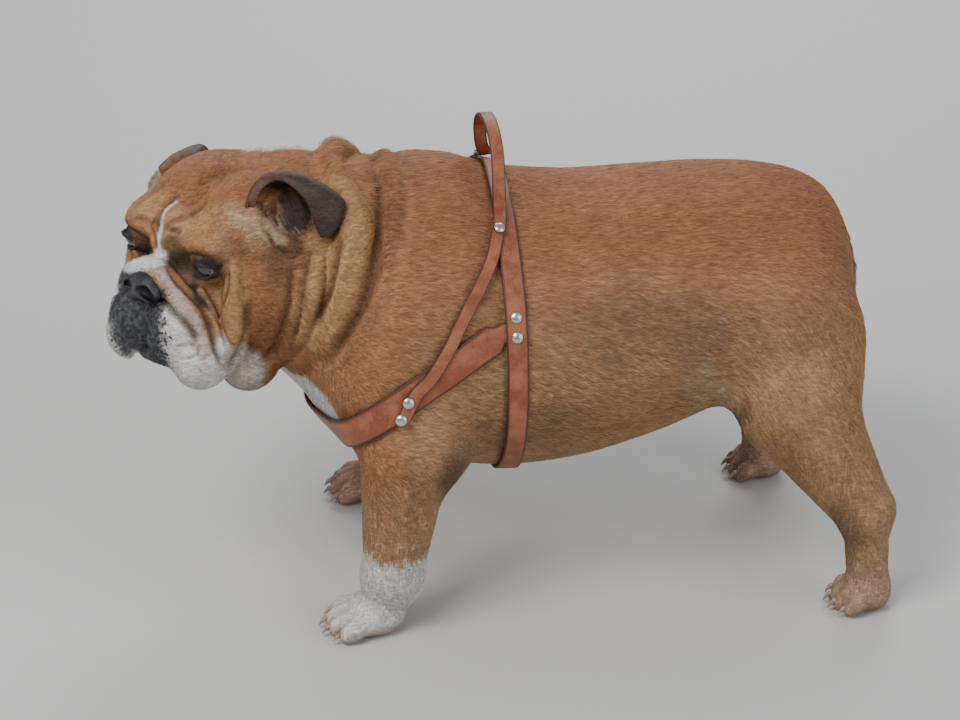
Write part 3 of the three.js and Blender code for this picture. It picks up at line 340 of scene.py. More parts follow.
upper_lid = roll([on_eye(a, e, 0.7) for a, e in ((-44, -8), (-24, 11), (0, 18), (24, 12), (42, -4))],
                 [2.2, 3.5, 3.7, 3.2, 2])
lower_lid = roll([on_eye(a, e, 0.5) for a, e in ((-44, -18), (-24, -36), (0, -42), (24, -35), (42, -16))],
                 [2, 2.9, 2.9, 2])
opening = lump(on_eye(0, -11, 3), [9, 10.2, 4], 0, GAZE)

# The burr of the ear, the line of the mouth, the cleft of the upper lip and the furrow of the brow.
ear_hollow = lump([-20, 66, 44], [14, 13, 18])
ear_rim = roll([[8, 55, 52], [5, 68, 38], [-4, 76, 24], [-20, 78, 17], [-36, 72, 22]], [5, 6, 7, 6, 5])
mouth_line = roll([[92, 0, -50], [89, 10, -60], [80, 22, -73], [68, 34, -84], [54, 43, -89], [44, 47, -90]],
                  [2, 3, 3.5, 3.2, 2.4, 1.4])
lip_cleft = limb([97, 0, -16], [95, 0, -50], 2, 2.4)
brow_furrow = roll([[69, 0, 26], [62, 0, 45], [44, 0, 62], [14, 0, 74]], [2, 2.5, 2.8, 2], 6)
jaw = grown(
    lump([48, 0, -66], [30, 28, 18]),
    (4, roll([[79, 0, -66], [73, 15, -69], [58, 27, -75]], [6.5, 6.5, 6])),
)
whole_head = grown(
    skull, (6, nose_roll), (4, eye_fold), (4, cheek_roll), (8, flews), (10, pouch), (6, lid_cover),
    (3.5, upper_lid), (3.5, lower_lid), (6, ear_rim),
)


def head(f, l, u):
    d = whole_head(f, l, u)
    d = carve(d, opening(f, l, u), 2)
    d = carve(d, mouth_line(f, l, u), 4)
    d = carve(d, lip_cleft(f, l, u), 5)
    d = carve(d, brow_furrow(f, l, u), 8)
    d = carve(d, ear_hollow(f, l, u), 6)
    return blend(d, jaw(f, l, u), 2)


tail = grown(
    roll([[156, 0, 294], [179, 0, 291], [193, -2, 277], [196, -4, 258]], [16, 13, 11, 6]),
    (8, lump([194, 1, 272], [9, 10, 11])),
)


HEAD_REACH = 330


def flesh(p):
    """Distance in millimetres from points to the dog's outer form, below zero inside it."""
    x, y, z = p[:, 0], p[:, 1], p[:, 2]
    d = trunk(x, y, z)
    d = blend(d, neck(x, y, z), 40)
    d = blend(d, both_rolls(x, np.abs(y - NECK_MIDDLE), z), 7)
    f, l, u = in_head(p).T
    near_head = np.flatnonzero(np.abs(f) + np.abs(l) + np.abs(u) < HEAD_REACH)
    if len(near_head):
        d[near_head] = blend(d[near_head], head(f[near_head], np.abs(l[near_head]), u[near_head]), 10)
    for k, leg in legs:
        d = blend(d, leg(x, y, z), k)
    return blend(d, tail(x, y, z), 4)


# The skin as a mesh: coarse cells find where the surface passes, and only the cells near it are worked out
# finely. The points are then moved onto the surface itself.
FINE_CELL = 2.2
PER_COARSE = 4
POINTS_AT_ONCE = 200000
SETTLING_ROUNDS = 2
MOST_MOVED = 1.5
SKIN_LOW = np.array([-440.0, -190.0, -14.0])
SKIN_HIGH = np.array([240.0, 190.0, 385.0])


def in_parts(field, points):
    """A field at many points, a part at a time to spare memory."""
    starts = range(0, len(points), POINTS_AT_ONCE)
    return np.concatenate([field(points[i:i + POINTS_AT_ONCE]) for i in starts])


def netted(field, low, high, cell):
    """The surface of a field as points and quads."""
    coarse = cell * PER_COARSE
    counts = np.ceil((high - low) / coarse).astype(int)
    middles = [low[k] + (np.arange(counts[k]) + 0.5) * coarse for k in range(3)]
    grid = np.stack(np.meshgrid(*middles, indexing="ij"), -1).reshape(-1, 3)
    rough = in_parts(field, grid)
    values = np.repeat(np.repeat(np.repeat(
        rough.reshape(counts), PER_COARSE, 0), PER_COARSE, 1), PER_COARSE, 2)
    active = np.flatnonzero(np.abs(rough) < coarse * 1.5)
    i, j, k = np.unravel_index(active, counts)
    step = np.arange(PER_COARSE)
    di, dj, dk = (v.ravel() for v in np.meshgrid(step, step, step, indexing="ij"))
    i = (i[:, None] * PER_COARSE + di).ravel()
    j = (j[:, None] * PER_COARSE + dj).ravel()
    k = (k[:, None] * PER_COARSE + dk).ravel()
    places = low + (np.stack([i, j, k], 1) + 0.5) * cell
    values[i, j, k] = in_parts(field, places)
    volume = openvdb.FloatGrid()
    volume.copyFromArray(np.ascontiguousarray(values, dtype=np.float32))
    points, quads = volume.convertToQuads(isovalue=0.0)
    return low + (points.astype(float) + 0.5) * cell, quads.astype(int)


def corner_normals(points, faces):
    """The normal at each point of a mesh of triangles or quads."""
    a, b, c, d = (points[faces[:, n]] for n in (0, 1, 2, -1))
    across = np.cross(c - a, d - b) if faces.shape[1] == 4 else np.cross(b - a, c - a)
    total = np.zeros_like(points)
    for n in range(faces.shape[1]):
        for axis in range(3):
            total[:, axis] += np.bincount(faces[:, n], across[:, axis], len(points))
    return total / np.maximum(np.linalg.norm(total, axis=1), 1e-12)[:, None]


def skin_field(p):
    return flesh(p) + COAT_DEPTH


def surface_of(field, low, high, cell):
    """The surface of a field as points and quads that face outwards, its points moved onto it exactly."""
    points, faces = netted(field, low, high, cell)
    normals = corner_normals(points, faces)
    if np.einsum("ij,ij->", normals, points - points.mean(0)) < 0:
        faces = faces[:, ::-1]
    for _ in range(SETTLING_ROUNDS):
        normals = corner_normals(points, faces)
        away = np.clip(in_parts(field, points), -MOST_MOVED, MOST_MOVED)
        points = points - normals * away[:, None]
    return points, faces


def made_mesh(name, points, faces):
    """A Blender mesh from points in millimetres in the dog's frame and faces of equal length."""
    mesh = bpy.data.meshes.new(name)
    places = (np.asarray(points) + SHIFT) / 1000
    faces = np.asarray(faces)
    mesh.vertices.add(len(places))
    mesh.vertices.foreach_set("co", places.astype(np.float32).ravel())
    mesh.loops.add(faces.size)
    mesh.loops.foreach_set("vertex_index", faces.astype(np.int32).ravel())
    mesh.polygons.add(len(faces))
    mesh.polygons.foreach_set("loop_start", np.arange(0, faces.size, faces.shape[1], dtype=np.int32))
    mesh.update(calc_edges=True)
    mesh.polygons.foreach_set("use_smooth", np.full(len(faces), True))
    return mesh


def shown(mesh, material):
    """A mesh as an object of the same name that moves with the dog, the only body."""
    thing = bpy.data.objects.new(mesh.name, mesh)
    bpy.context.scene.collection.objects.link(thing)
    mesh.materials.append(material)
    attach(thing, "root")
    return thing


def mesh_arrays(mesh):
    """The points of a mesh in millimetres in the dog's frame, and its triangles."""
    points = np.empty(len(mesh.vertices) * 3, np.float32)
    mesh.vertices.foreach_get("co", points)
    mesh.calc_loop_triangles()
    triangles = np.empty(len(mesh.loop_triangles) * 3, np.int32)
    mesh.loop_triangles.foreach_get("vertices", triangles)
    return points.reshape(-1, 3).astype(float) * 1000 - SHIFT, triangles.reshape(-1, 3)


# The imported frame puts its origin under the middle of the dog: the eye tells how far that is.
eye_low, eye_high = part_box("eye_left")
SHIFT = (np.array(eye_low) + np.array(eye_high)) * 500 - head_point(EYE_PLACE)

skin_points, skin_quads = surface_of(skin_field, SKIN_LOW, SKIN_HIGH, FINE_CELL)

# The face is netted twice as finely as the trunk, and its points are moved onto the surface again.
FACE_MIDDLE = head_point([52, 0, -12])
FACE_REACH = 92
FACE_EDGE = 8
skin_mesh = made_mesh("skin", skin_points, skin_quads)
grid = bmesh.new()
grid.from_mesh(skin_mesh)
face_place = Vector((FACE_MIDDLE + SHIFT) / 1000)
face_edges = [e for e in grid.edges if (e.verts[0].co - face_place).length < FACE_REACH / 1000]
bmesh.ops.subdivide_edges(grid, edges=face_edges, cuts=1, use_grid_fill=True)
bmesh.ops.triangulate(grid, faces=[face for face in grid.faces if len(face.verts) > 4])
grid.to_mesh(skin_mesh)
grid.free()
skin_points, skin_triangles = mesh_arrays(skin_mesh)
face_points = np.linalg.norm(skin_points - FACE_MIDDLE, axis=1) < FACE_REACH + FACE_EDGE
for _ in range(SETTLING_ROUNDS):
    normals = corner_normals(skin_points, skin_triangles)
    away = np.clip(in_parts(skin_field, skin_points[face_points]), -1, 1)
    skin_points[face_points] -= normals[face_points] * away[:, None]


# Loose folds of skin. Their lines are placed by pixels of the photograph, cast onto the skin from its camera.
# Those of the head and neck are the same on both sides, apart from a few that are on one side of the head.
VIEW_AZIMUTH = math.radians(-5.8)
VIEW_ELEVATION = math.radians(25)
VIEW_DISTANCE = 3200
VIEW_TARGET = np.array([-103, 0, 175.6])
PHOTO_SIZE = (960, 720)
FOCAL_PIXELS = 3833
CLEAR_OF_DOG = 450
CAST_STEPS = 90
CAST_SHARE = 0.8
POINTS_PER_LINE = 24
TO_CAMERA = np.array([
    math.sin(VIEW_AZIMUTH) * math.cos(VIEW_ELEVATION), -math.cos(VIEW_AZIMUTH) * math.cos(VIEW_ELEVATION),
    math.sin(VIEW_ELEVATION)])
TO_RIGHT = np.array([math.cos(VIEW_AZIMUTH), math.sin(VIEW_AZIMUTH), 0])
TO_TOP = np.cross(TO_CAMERA, TO_RIGHT)


def on_skin(pixels):
    """The places on the skin that the photograph's camera sees at these pixels."""
    pixels = np.asarray(pixels, float)
    rays = (-FOCAL_PIXELS * TO_CAMERA + (pixels[:, :1] - PHOTO_SIZE[0] / 2) * TO_RIGHT
            - (pixels[:, 1:] - PHOTO_SIZE[1] / 2) * TO_TOP)
    rays /= np.linalg.norm(rays, axis=1)[:, None]
    places = VIEW_TARGET + VIEW_DISTANCE * TO_CAMERA + rays * (VIEW_DISTANCE - CLEAR_OF_DOG)
    for _ in range(CAST_STEPS):
        places += rays * (skin_field(places) * CAST_SHARE)[:, None]
    return places


def distance_to_path(points, path, reach):
    """Distance from points to a line, and how far along it from 0 to 1; far points get the value reach."""
    away = np.full(len(points), float(reach))
    along = np.zeros(len(points))
    low, high = path.min(0) - reach, path.max(0) + reach
    near = np.flatnonzero(((points > low) & (points < high)).all(1))
    best = np.full(len(near), float(reach))
    best_along = np.zeros(len(near))
    for i in range(len(path) - 1):
        a, ab = path[i], path[i + 1] - path[i]
        t = np.clip((points[near] - a) @ ab / (ab @ ab), 0, 1)
        d = np.linalg.norm(points[near] - a - t[:, None] * ab, axis=1)
        closer = d < best
        best[closer] = d[closer]
        best_along[closer] = (i + t[closer]) / (len(path) - 1)
    away[near] = best
    along[near] = best_along
    return away, along


def on_near_side(points, where):
    """Points folded onto the near side, so that one line serves both sides of the head, neck or body.

    Those of the head are in its own frame, where a line that is on one side only isn't folded.
    """
    if where == "one side":
        return in_head(points)
    if where == "head":
        folded = in_head(points)
        folded[:, 1] = np.abs(folded[:, 1])
        return folded
    middle = NECK_MIDDLE if where == "neck" else 0
    return np.column_stack([points[:, 0], -np.abs(points[:, 1] - middle), points[:, 2]])


def lines_on_skin(entries):
    """For entries of (where, pixels), the lines on the skin, folded onto the near side, cast all at once."""
    places = on_skin(np.vstack([smooth_path(pixels, POINTS_PER_LINE) for _, pixels in entries]))
    parts = np.split(places, len(entries))
    return [on_near_side(part, where) for part, (where, _) in zip(parts, entries)]


# Each fold: where it is, its line in the photograph, its width and its depth in millimetres.
FOLDS = (
    ("head", [(157, 288), (171, 310), (189, 327), (199, 343)], 2.6, 3.0),
    ("head", [(165, 264), (179, 284), (201, 307), (212, 332), (217, 352), (224, 369)], 2.8, 3.4),
    ("head", [(201, 300), (219, 323), (226, 347)], 2.2, 1.8),
    ("head", [(228, 268), (227, 288), (222, 306)], 2.6, 1.8),
    ("head", [(248, 300), (244, 337), (228, 367)], 3.0, 2.2),
    ("head", [(294, 264), (289, 308), (279, 337), (260, 364)], 3.4, 2.6),
    ("head", [(173, 347), (186, 345), (197, 345), (199, 353), (191, 358), (179, 359)], 1.4, 1.3),
    ("head", [(179, 191), (171, 202), (160, 215), (158, 236)], 2.6, 1.8),
    ("head", [(171, 228), (182, 231)], 2.2, 1.2),
    ("one side", [(128, 218), (146, 220), (154, 237), (156, 252)], 2.2, 1.8),
    ("head", [(196, 187), (214, 177), (236, 170), (262, 171)], 4.0, 1.3),
    ("one side", [(132, 209), (150, 194), (166, 184)], 2.6, 1.2),
    ("head", [(188, 254), (203, 257), (218, 263)], 2.2, 1.2),
    ("head", [(192, 285), (206, 287), (217, 281)], 1.6, 0.9),
    ("neck", [(341, 236), (333, 274), (327, 298), (313, 323)], 3.4, 3.6),
    ("neck", [(367, 157), (378, 189), (378, 229), (374, 268), (361, 308), (337, 347), (321, 367)], 4.2, 4.4),
    ("neck", [(313, 248), (305, 278), (301, 308), (293, 347)], 3.0, 2.8),
    ("neck", [(390, 150), (404, 190), (402, 240)], 6.0, 1.2),
)
SWELL_SHARE = 0.3
FEET_TOP = 30
SOLE = 0.5
fold_depth = np.zeros(len(skin_points))
fold_shade = np.zeros(len(skin_points))
fold_lines = lines_on_skin([(where, pixels) for where, pixels, _, _ in FOLDS])
for (where, _, width, depth), line in zip(FOLDS, fold_lines):
    away, along = distance_to_path(on_near_side(skin_points, where), line, 6 * width)
    fading = np.clip(np.minimum(along, 1 - along) * 7, 0, 1) ** 0.7
    groove = np.exp(-(away / width) ** 2) * fading
    swell = np.exp(-((away - 2.4 * width) / (1.3 * width)) ** 2) * fading
    fold_depth += depth * (groove - SWELL_SHARE * swell)
    # Each groove also darkens the coat there, more strongly where the fold is deeper: painted shade in the
    # crease.
    fold_shade = np.maximum(fold_shade, groove * min(depth / 3, 1))
fold_normals = corner_normals(skin_points, skin_triangles)
above_feet = skin_points[:, 2] > FEET_TOP
skin_points -= fold_normals * (fold_depth * above_feet)[:, None]
skin_points[:, 2] = np.maximum(skin_points[:, 2], SOLE)
skin_mesh.vertices.foreach_set("co", ((skin_points + SHIFT) / 1000).astype(np.float32).ravel())


# The coat's colours: tan, redder along the back and lighter on the sides and the rolls of the neck, with a
# white blaze, muzzle, throat and near forepaw, a dark mask and dark ears. Skin and hair both take them.
RED_TAN = (0.365, 0.16, 0.076)
SIDE_TAN = (0.43, 0.243, 0.122)
GOLD_TAN = (0.46, 0.27, 0.12)
PALE_TAN = (0.49, 0.36, 0.225)
HEAD_RED = (0.36, 0.158, 0.066)
CHEEK_RED = (0.26, 0.112, 0.047)
DARK_BROWN = (0.105, 0.062, 0.036)
# The colour of the painted shade in the creases of the folds:
FOLD_SHADE_BROWN = (0.07, 0.03, 0.014)
SMUDGE = (0.19, 0.125, 0.082)
WHITE = (0.72, 0.7, 0.67)
GREY_WHITE = (0.47, 0.42, 0.35)
PINK_TAN = (0.47, 0.3, 0.215)
PINK_WHITE = (0.5, 0.385, 0.325)
BLACK = (0.02, 0.019, 0.021)
FRECKLE_BLACK = (0.03, 0.031, 0.037)
EAR_BROWN = (0.046, 0.029, 0.025)


def smooth_step(value, low, high):
    t = np.clip((value - low) / (high - low), 0, 1)
    return t * t * (3 - 2 * t)


def ripple(points, size):
    """A wavering value from -1 to 1 with waves of about this size, to break the edges of the markings."""
    x, y, z = points.T * (2 * math.pi / size)
    wave = np.sin(x + 1.7 * np.sin(0.63 * y + 0.4)) + np.sin(0.9 * y + 1.3 * np.sin(0.7 * z + 2.1))
    return (wave + np.sin(1.1 * z + 1.9 * np.sin(0.57 * x + 1.2))) / 3


# Each marking: its colour, its strength, where it is, its line in the photograph, its reach to either side of
# the line and how soft its edge is, both in millimetres.
MARKINGS = (
    (GOLD_TAN, 0.85, "neck", [(345, 190), (356, 225), (352, 262), (338, 300), (320, 335)], 9, 16),
    (GOLD_TAN, 0.8, "neck", [(322, 236), (318, 262), (308, 300), (298, 332)], 7, 9),
    # Darker red lines along the creases between the rolls of the neck: painted shade.
    (CHEEK_RED, 0.6, "neck", [(336, 195), (338, 240), (330, 285), (318, 318)], 1.5, 6),
    (CHEEK_RED, 0.55, "neck", [(372, 175), (380, 230), (372, 280), (345, 340)], 3, 12),
    (PALE_TAN, 0.8, "head", [(236, 214), (252, 222), (262, 238)], 6, 16),
    (GOLD_TAN, 0.8, "head", [(200, 222), (180, 226), (172, 240)], 7, 15),
    (GOLD_TAN, 0.7, "head", [(214, 250), (228, 262), (240, 285)], 4, 12),
    (GOLD_TAN, 0.7, "head", [(222, 300), (238, 322), (240, 345), (230, 360)], 4, 8),
    (HEAD_RED, 0.8, "head", [(238, 172), (262, 186), (225, 185)], 12, 24),
    (CHEEK_RED, 0.7, "head", [(258, 262), (266, 300), (268, 335)], 9, 16),
    (DARK_BROWN, 0.55, "head", [(283, 256), (280, 268)], 6, 14),
    (DARK_BROWN, 0.85, "head", [(261, 207), (270, 232), (280, 252)], 2.5, 5),
    (PALE_TAN, 0.8, "head", [(270, 224), (280, 240)], 4, 4),
    (DARK_BROWN, 0.8, "head", [(288, 226), (294, 240), (298, 250)], 1.5, 4),
    (BLACK, 0.85, "head", [(284, 196), (291, 208), (290, 222)], 3.5, 5),
    (DARK_BROWN, 0.75, "body", [(452, 470), (456, 490), (450, 505)], 6, 16),
    (DARK_BROWN, 0.45, "body", [(842, 520), (848, 560)], 5, 18),
    (SMUDGE, 0.5, "body", [(600, 330), (650, 322), (700, 335)], 12, 34),
    (SMUDGE, 0.4, "body", [(470, 440), (500, 436), (560, 420)], 8, 26),
    (PALE_TAN, 0.65, "body", [(862, 280), (868, 320), (868, 360)], 7, 20),
    (PALE_TAN, 0.55, "body", [(700, 382), (712, 398)], 8, 22),
    (DARK_BROWN, 0.6, "body", [(722, 420), (738, 414), (748, 404)], 2, 7),
    (DARK_BROWN, 0.7, "body", [(838, 204), (844, 226)], 4, 8),
    (WHITE, 1.0, "neck", [(290, 374), (312, 392), (330, 412)], 13, 5),
    (GREY_WHITE, 0.95, "head", [(236, 360), (248, 372), (244, 388)], 12, 6),
    (SIDE_TAN, 0.85, "head", [(172, 262), (188, 288), (204, 312), (212, 330)], 7, 5),
    (PINK_WHITE, 0.9, "head", [(176, 296), (192, 322), (203, 350)], 5, 5),
    (PINK_WHITE, 0.55, "head", [(164, 276), (176, 296)], 4, 5),
    (CHEEK_RED, 0.7, "head", [(186, 292), (205, 322), (214, 350)], 1.5, 4),
    (PINK_WHITE, 0.8, "head", [(150, 268), (158, 270), (166, 280)], 4, 4),
    (WHITE, 1.0, "one side", [(158, 258), (144, 260), (131, 265)], 7.5, 3),
    # A dark red line beside the blaze: painted shadow in the furrow of the brow.
    (CHEEK_RED, 0.75, "one side", [(170, 203), (160, 214), (155, 226)], 3, 4),
    (WHITE, 1.0, "one side", [(175, 203), (163, 215), (160, 232), (159, 250)], 1.6, 1.2),
    (DARK_BROWN, 0.75, "one side", [(171, 246), (180, 254), (190, 262)], 5, 9),
    (DARK_BROWN, 0.85, "head", [(180, 260), (196, 262), (206, 266), (214, 270)], 7, 8),
    (DARK_BROWN, 0.6, "one side", [(178, 270), (190, 286), (200, 300)], 3, 9),
    (BLACK, 0.95, "head", [(194, 264), (205, 263), (218, 268)], 2.5, 4),
    (BLACK, 0.9, "head", [(196, 276), (206, 279), (215, 277)], 2.0, 5),
    (BLACK, 0.8, "one side", [(192, 288), (200, 302)], 1.5, 6),
    # A short dark line along a small crease of the brow: painted shade.
    (DARK_BROWN, 0.7, "head", [(168, 228), (178, 232)], 1.0, 3),
)
marking_lines = lines_on_skin([(where, pixels) for _, _, where, pixels, _, _ in MARKINGS])
MASK_PATH = [[93, 2, -8], [96, 6, -30], [94, 9, -48], [88, 7, -70]]
MASK_GREY = (0.1, 0.105, 0.125)
MASK_FAR_SHARE = 0.45
FOLD_SHADE_STRENGTH = 0.75
far_nape = lump([-266, 33, 352], [36, 31, 27])


def coat_colour(points):
    """The colour of the coat at places on the skin, and how strongly the muzzle is freckled there."""
    x, y, z = points.T
    f, l, u = on_near_side(points, "head").T
    wobble = ripple(points, 70) * 12 + ripple(points, 23) * 4
    back = smooth_step(z + wobble + 0.2 * np.abs(y), 240, 335)[:, None]
    colour = np.array(SIDE_TAN) * (1 - back) + np.array(RED_TAN) * back
    patchy = 1 + 0.08 * ripple(points, 52) + 0.07 * ripple(points[:, ::-1], 17)

    def paint(colour, tone, strength):
        return colour + (np.array(tone) - colour) * strength[:, None]

    on_head = smooth_step(f + 0.25 * u, -62, -40)
    colour = paint(colour, HEAD_RED, 0.7 * on_head)
    low_leg = smooth_step(z, 150, 60) * 0.35
    colour = paint(colour, PALE_TAN, low_leg)
    belly = smooth_step(z, 152, 118) * smooth_step(np.abs(y), 92, 60)
    colour = paint(colour, GREY_WHITE, belly * (x > -235) * (x < 190) * 0.85)

    # The upper lips are white, and the hollow of the ear is dark with pale tufts in it.
    on_flews = smooth_step(flews(f, l, u) + ripple(points, 19), 4.5, 2.0)
    colour = paint(colour, WHITE, on_flews * smooth_step(u, -6, -12))
    hollow = smooth_step(ear_hollow(f, l, u) + ripple(points, 8), 7, 1)
    colour = paint(colour, EAR_BROWN, hollow)
    pale_hair = smooth_step(ripple(points, 6.5), 0.0, 0.5) * (f > -22)
    colour = paint(colour, PALE_TAN, 0.75 * hollow * pale_hair)

    for (tone, strength, where, _, reach, soft), line in zip(MARKINGS, marking_lines):
        away, _ = distance_to_path(on_near_side(points, where), line, reach + soft * 2)
        edge = away + ripple(points, soft * 1.6 + 3) * soft * 0.35
        colour = paint(colour, tone, strength * smooth_step(edge, reach + soft, reach))
    nape_edge = far_nape(x, y, z) + ripple(points, 26) * 5 + ripple(points, 9) * 2
    colour = paint(colour, WHITE, smooth_step(nape_edge, 4, -2))
    far_roll = smooth_step(nose_roll(f, l, u), 4, 1.5) * smooth_step(in_head(points)[:, 1], -6, -13)
    colour = paint(colour, WHITE, far_roll * smooth_step(u, -52, -36))

    # The near forepaw is white to the wrist; the others are a pinkish tan that fades upwards.
    near_paw = (x < -150) & (y < 0)
    wrist_edge = z + ripple(points, 16) * 5
    colour = paint(colour, WHITE, smooth_step(wrist_edge, 76, 66) * near_paw)
    other_paw = smooth_step(wrist_edge, 52, 26) * 0.8 * ~near_paw
    colour = paint(colour, PINK_TAN, other_paw)
    toes = smooth_step(z, 16, 7) * 0.6
    colour = paint(colour, PINK_TAN, toes)
    lid = smooth_step(opening(f, l, u), 2.8, 1.0)
    colour = paint(colour, BLACK, lid)

    # The mask reaches further over the far lip than over the near one, and its edge breaks up into freckles.
    one_side = in_head(points)
    one_side[:, 1] = np.where(one_side[:, 1] < 0, one_side[:, 1] * MASK_FAR_SHARE, one_side[:, 1])
    away, _ = distance_to_path(one_side, np.array(MASK_PATH, float), 60)
    edge = away + ripple(points, 11) * 2.5 + ripple(points, 5) * 1.5
    under_nose = smooth_step(u, 4, -2)
    colour = paint(colour, MASK_GREY, 0.9 * smooth_step(edge, 28, 17) * under_nose)
    freckle = smooth_step(away, 42, 13) * under_nose
    return np.clip(colour * patchy[:, None], 0, 1), freckle


skin_colour, skin_freckle = coat_colour(skin_points)
# The coat is darkened in the grooves of the folds: painted shade in the creases.
skin_colour = skin_colour + (np.array(FOLD_SHADE_BROWN) - skin_colour) * (fold_shade * FOLD_SHADE_STRENGTH)[:, None]


def stamp(mesh, name, values):
    """Writes a colour or a number for each point of a mesh."""
    kind, field = "FLOAT", "value"
    if values.ndim == 2:
        kind, field = "FLOAT_COLOR", "color"
        values = np.column_stack([values, np.ones(len(values))])
    mesh.attributes.new(name, kind, "POINT").data.foreach_set(field, values.astype(np.float32).ravel())


stamp(skin_mesh, "tint", skin_colour)
stamp(skin_mesh, "freckle", skin_freckle)


class Sum:
    """A value in a material that can be worked with like a number."""
    def __init__(self, finish, socket):
        self.finish = finish
        self.socket = socket

    def _with(self, kind, *values):
        return self.finish.node("ShaderNodeMath", {"operation": kind}, dict(enumerate(values)))

    def __abs__(self):
        return self._with("ABSOLUTE", self)

    def __add__(self, other):
        return self._with("ADD", self, other)

    def __radd__(self, other):
        return self._with("ADD", other, self)

    def __sub__(self, other):
        return self._with("SUBTRACT", self, other)

    def __rsub__(self, other):
        return self._with("SUBTRACT", other, self)

    def __mul__(self, other):
        return self._with("MULTIPLY", self, other)

    def __rmul__(self, other):
        return self._with("MULTIPLY", other, self)


class Finish:
    """A material whose nodes are added one by one; the surface is a Principled shader."""
    def __init__(self, name, **settings):
        self.material = bpy.data.materials.new(name)
        self.material.use_nodes = True
        self.tree = self.material.node_tree
        self.surface = self.tree.nodes["Principled BSDF"]
        for key, value in settings.items():
            self.feed(key.replace("_", " ").title().replace("Ior", "IOR"), value)

    def feed(self, socket, value):
        """Sets a socket of the surface, or links a value to it."""
        self._give(self.surface.inputs[socket], value)

    def _give(self, socket, value):
        if isinstance(value, Sum):
            self.tree.links.new(value.socket, socket)
        elif isinstance(value, (tuple, list)) and socket.type == "RGBA" and len(value) == 3:
            socket.default_value = (*value, 1)
        else:
            socket.default_value = value

    def node(self, kind, settings=None, values=None, output=0):
        """Adds a node with its settings, and its values or links by socket; gives one of its outputs."""
        made = self.tree.nodes.new(kind)
        for key, value in (settings or {}).items():
            setattr(made, key, value)
        for key, value in (values or {}).items():
            self._give(made.inputs[key], value)
        return Sum(self, made.outputs[output])

    def attribute(self, name, output="Color"):
        return self.node("ShaderNodeAttribute", {"attribute_name": name}, output=output)

    def place(self, stretch=(1, 1, 1)):
        """The place on the piece in metres, multiplied by stretch."""
        spot = self.node("ShaderNodeTexCoord", output="Object")
        return self.node("ShaderNodeVectorMath", {"operation": "MULTIPLY"}, {0: spot, 1: stretch})

    def noise(self, place, scale, detail=2.0, roughness=0.5):
        return self.node("ShaderNodeTexNoise", values={
            "Vector": place, "Scale": scale, "Detail": detail, "Roughness": roughness}, output="Fac")

    def cells(self, place, scale):
        """The distance from the middle of the nearest of many small cells."""
        return self.node("ShaderNodeTexVoronoi", values={
            "Vector": place, "Scale": scale, "Randomness": 1.0}, output="Distance")

    def mixed(self, a, b, mask, how="MIX"):
        """Colour b over colour a where the mask is 1."""
        made = self.tree.nodes.new("ShaderNodeMix")
        made.data_type = "RGBA"
        made.blend_type = how
        self._give(made.inputs["Factor"], mask)
        self._give(made.inputs[6], a)
        self._give(made.inputs[7], b)
        return Sum(self, made.outputs[2])

    def level(self, value, low, high, to_low=0.0, to_high=1.0):
        """A smooth step of a value from low to high."""
        return self.node("ShaderNodeMapRange", {"interpolation_type": "SMOOTHSTEP"}, {
            0: value, 1: low, 2: high, 3: to_low, 4: to_high})

    def shaded(self, colour, depth):
        """A colour multiplied by a value."""
        grey = self.node("ShaderNodeCombineColor", values={0: depth, 1: depth, 2: depth})
        return self.mixed(colour, grey, 1.0, "MULTIPLY")

    def bump(self, height, strength, distance):
        made = self.node("ShaderNodeBump", values={
            "Strength": strength, "Distance": distance, "Height": height}, output="Normal")
        self.feed("Normal", made)


def coat_finish(name, bumpy):
    """Short smooth hair: the stamped colour with fine streaks, and black freckles on the muzzle."""
    coat = Finish(name, roughness=0.62, specular_ior_level=0.28)
    place = coat.place()
    tint = coat.attribute("tint")
    streaks = coat.noise(coat.place((120, 520, 520)), 1.0, 3.0, 0.6)
    shaded = coat.shaded(tint, coat.level(streaks, 0.3, 0.72, 0.72, 1.22))
    cells = coat.cells(place, 430.0)
    clusters = coat.noise(place, 110.0, 3.0)
    freckle = coat.attribute("freckle", "Fac")
    spots = coat.level(freckle * 0.95 + (clusters - 0.5) * 1.1 - cells * 0.8, 0.08, 0.24)
    spots = spots * coat.level(freckle, 0.0, 0.15)
    mottle = coat.level(coat.noise(place, 260.0, 3.0), 0.4, 0.62, 0.95, 0.5)
    coat.feed("Base Color", coat.mixed(shaded, FRECKLE_BLACK, spots * mottle))
    if bumpy:
        coat.bump(streaks, 0.5, 0.0008)
    return coat.material


coat_skin = coat_finish("coat_skin", True)
coat_hair = coat_finish("coat_hair", False)

skin = shown(skin_mesh, coat_skin)
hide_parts("head", "neck", "torso", "tail", "lower_jaw", *PAWS, "foreleg_left", "foreleg_right",
            "hindleg_left", "hindleg_right")


# The eyes: wet balls in sockets of skin, half hidden by heavy lids. Each has a black pupil and a dark brown
# iris with a darker ring round it, and little shows of its dull white.
BALL_RADIUS = 10.6
EYE_RINGS = 40
EYE_AROUND = 48
CORNEA_ANGLE = math.radians(27)
CORNEA_RISE = 0.6
PUPIL_EDGE = math.radians(15)
IRIS_EDGE = math.radians(37)
GAZE_DROP = 0.1
RING_INSIDE = 0.14
RING_OUTSIDE = 0.1
EYE_PALE = (0.13, 0.09, 0.085)
IRIS_BROWN = (0.035, 0.016, 0.008)
IRIS_LIGHT = (0.07, 0.034, 0.014)
PUPIL_BLACK = (0.004, 0.004, 0.005)


def unit(vectors):
    return vectors / np.maximum(np.linalg.norm(vectors, axis=-1, keepdims=True), 1e-9)


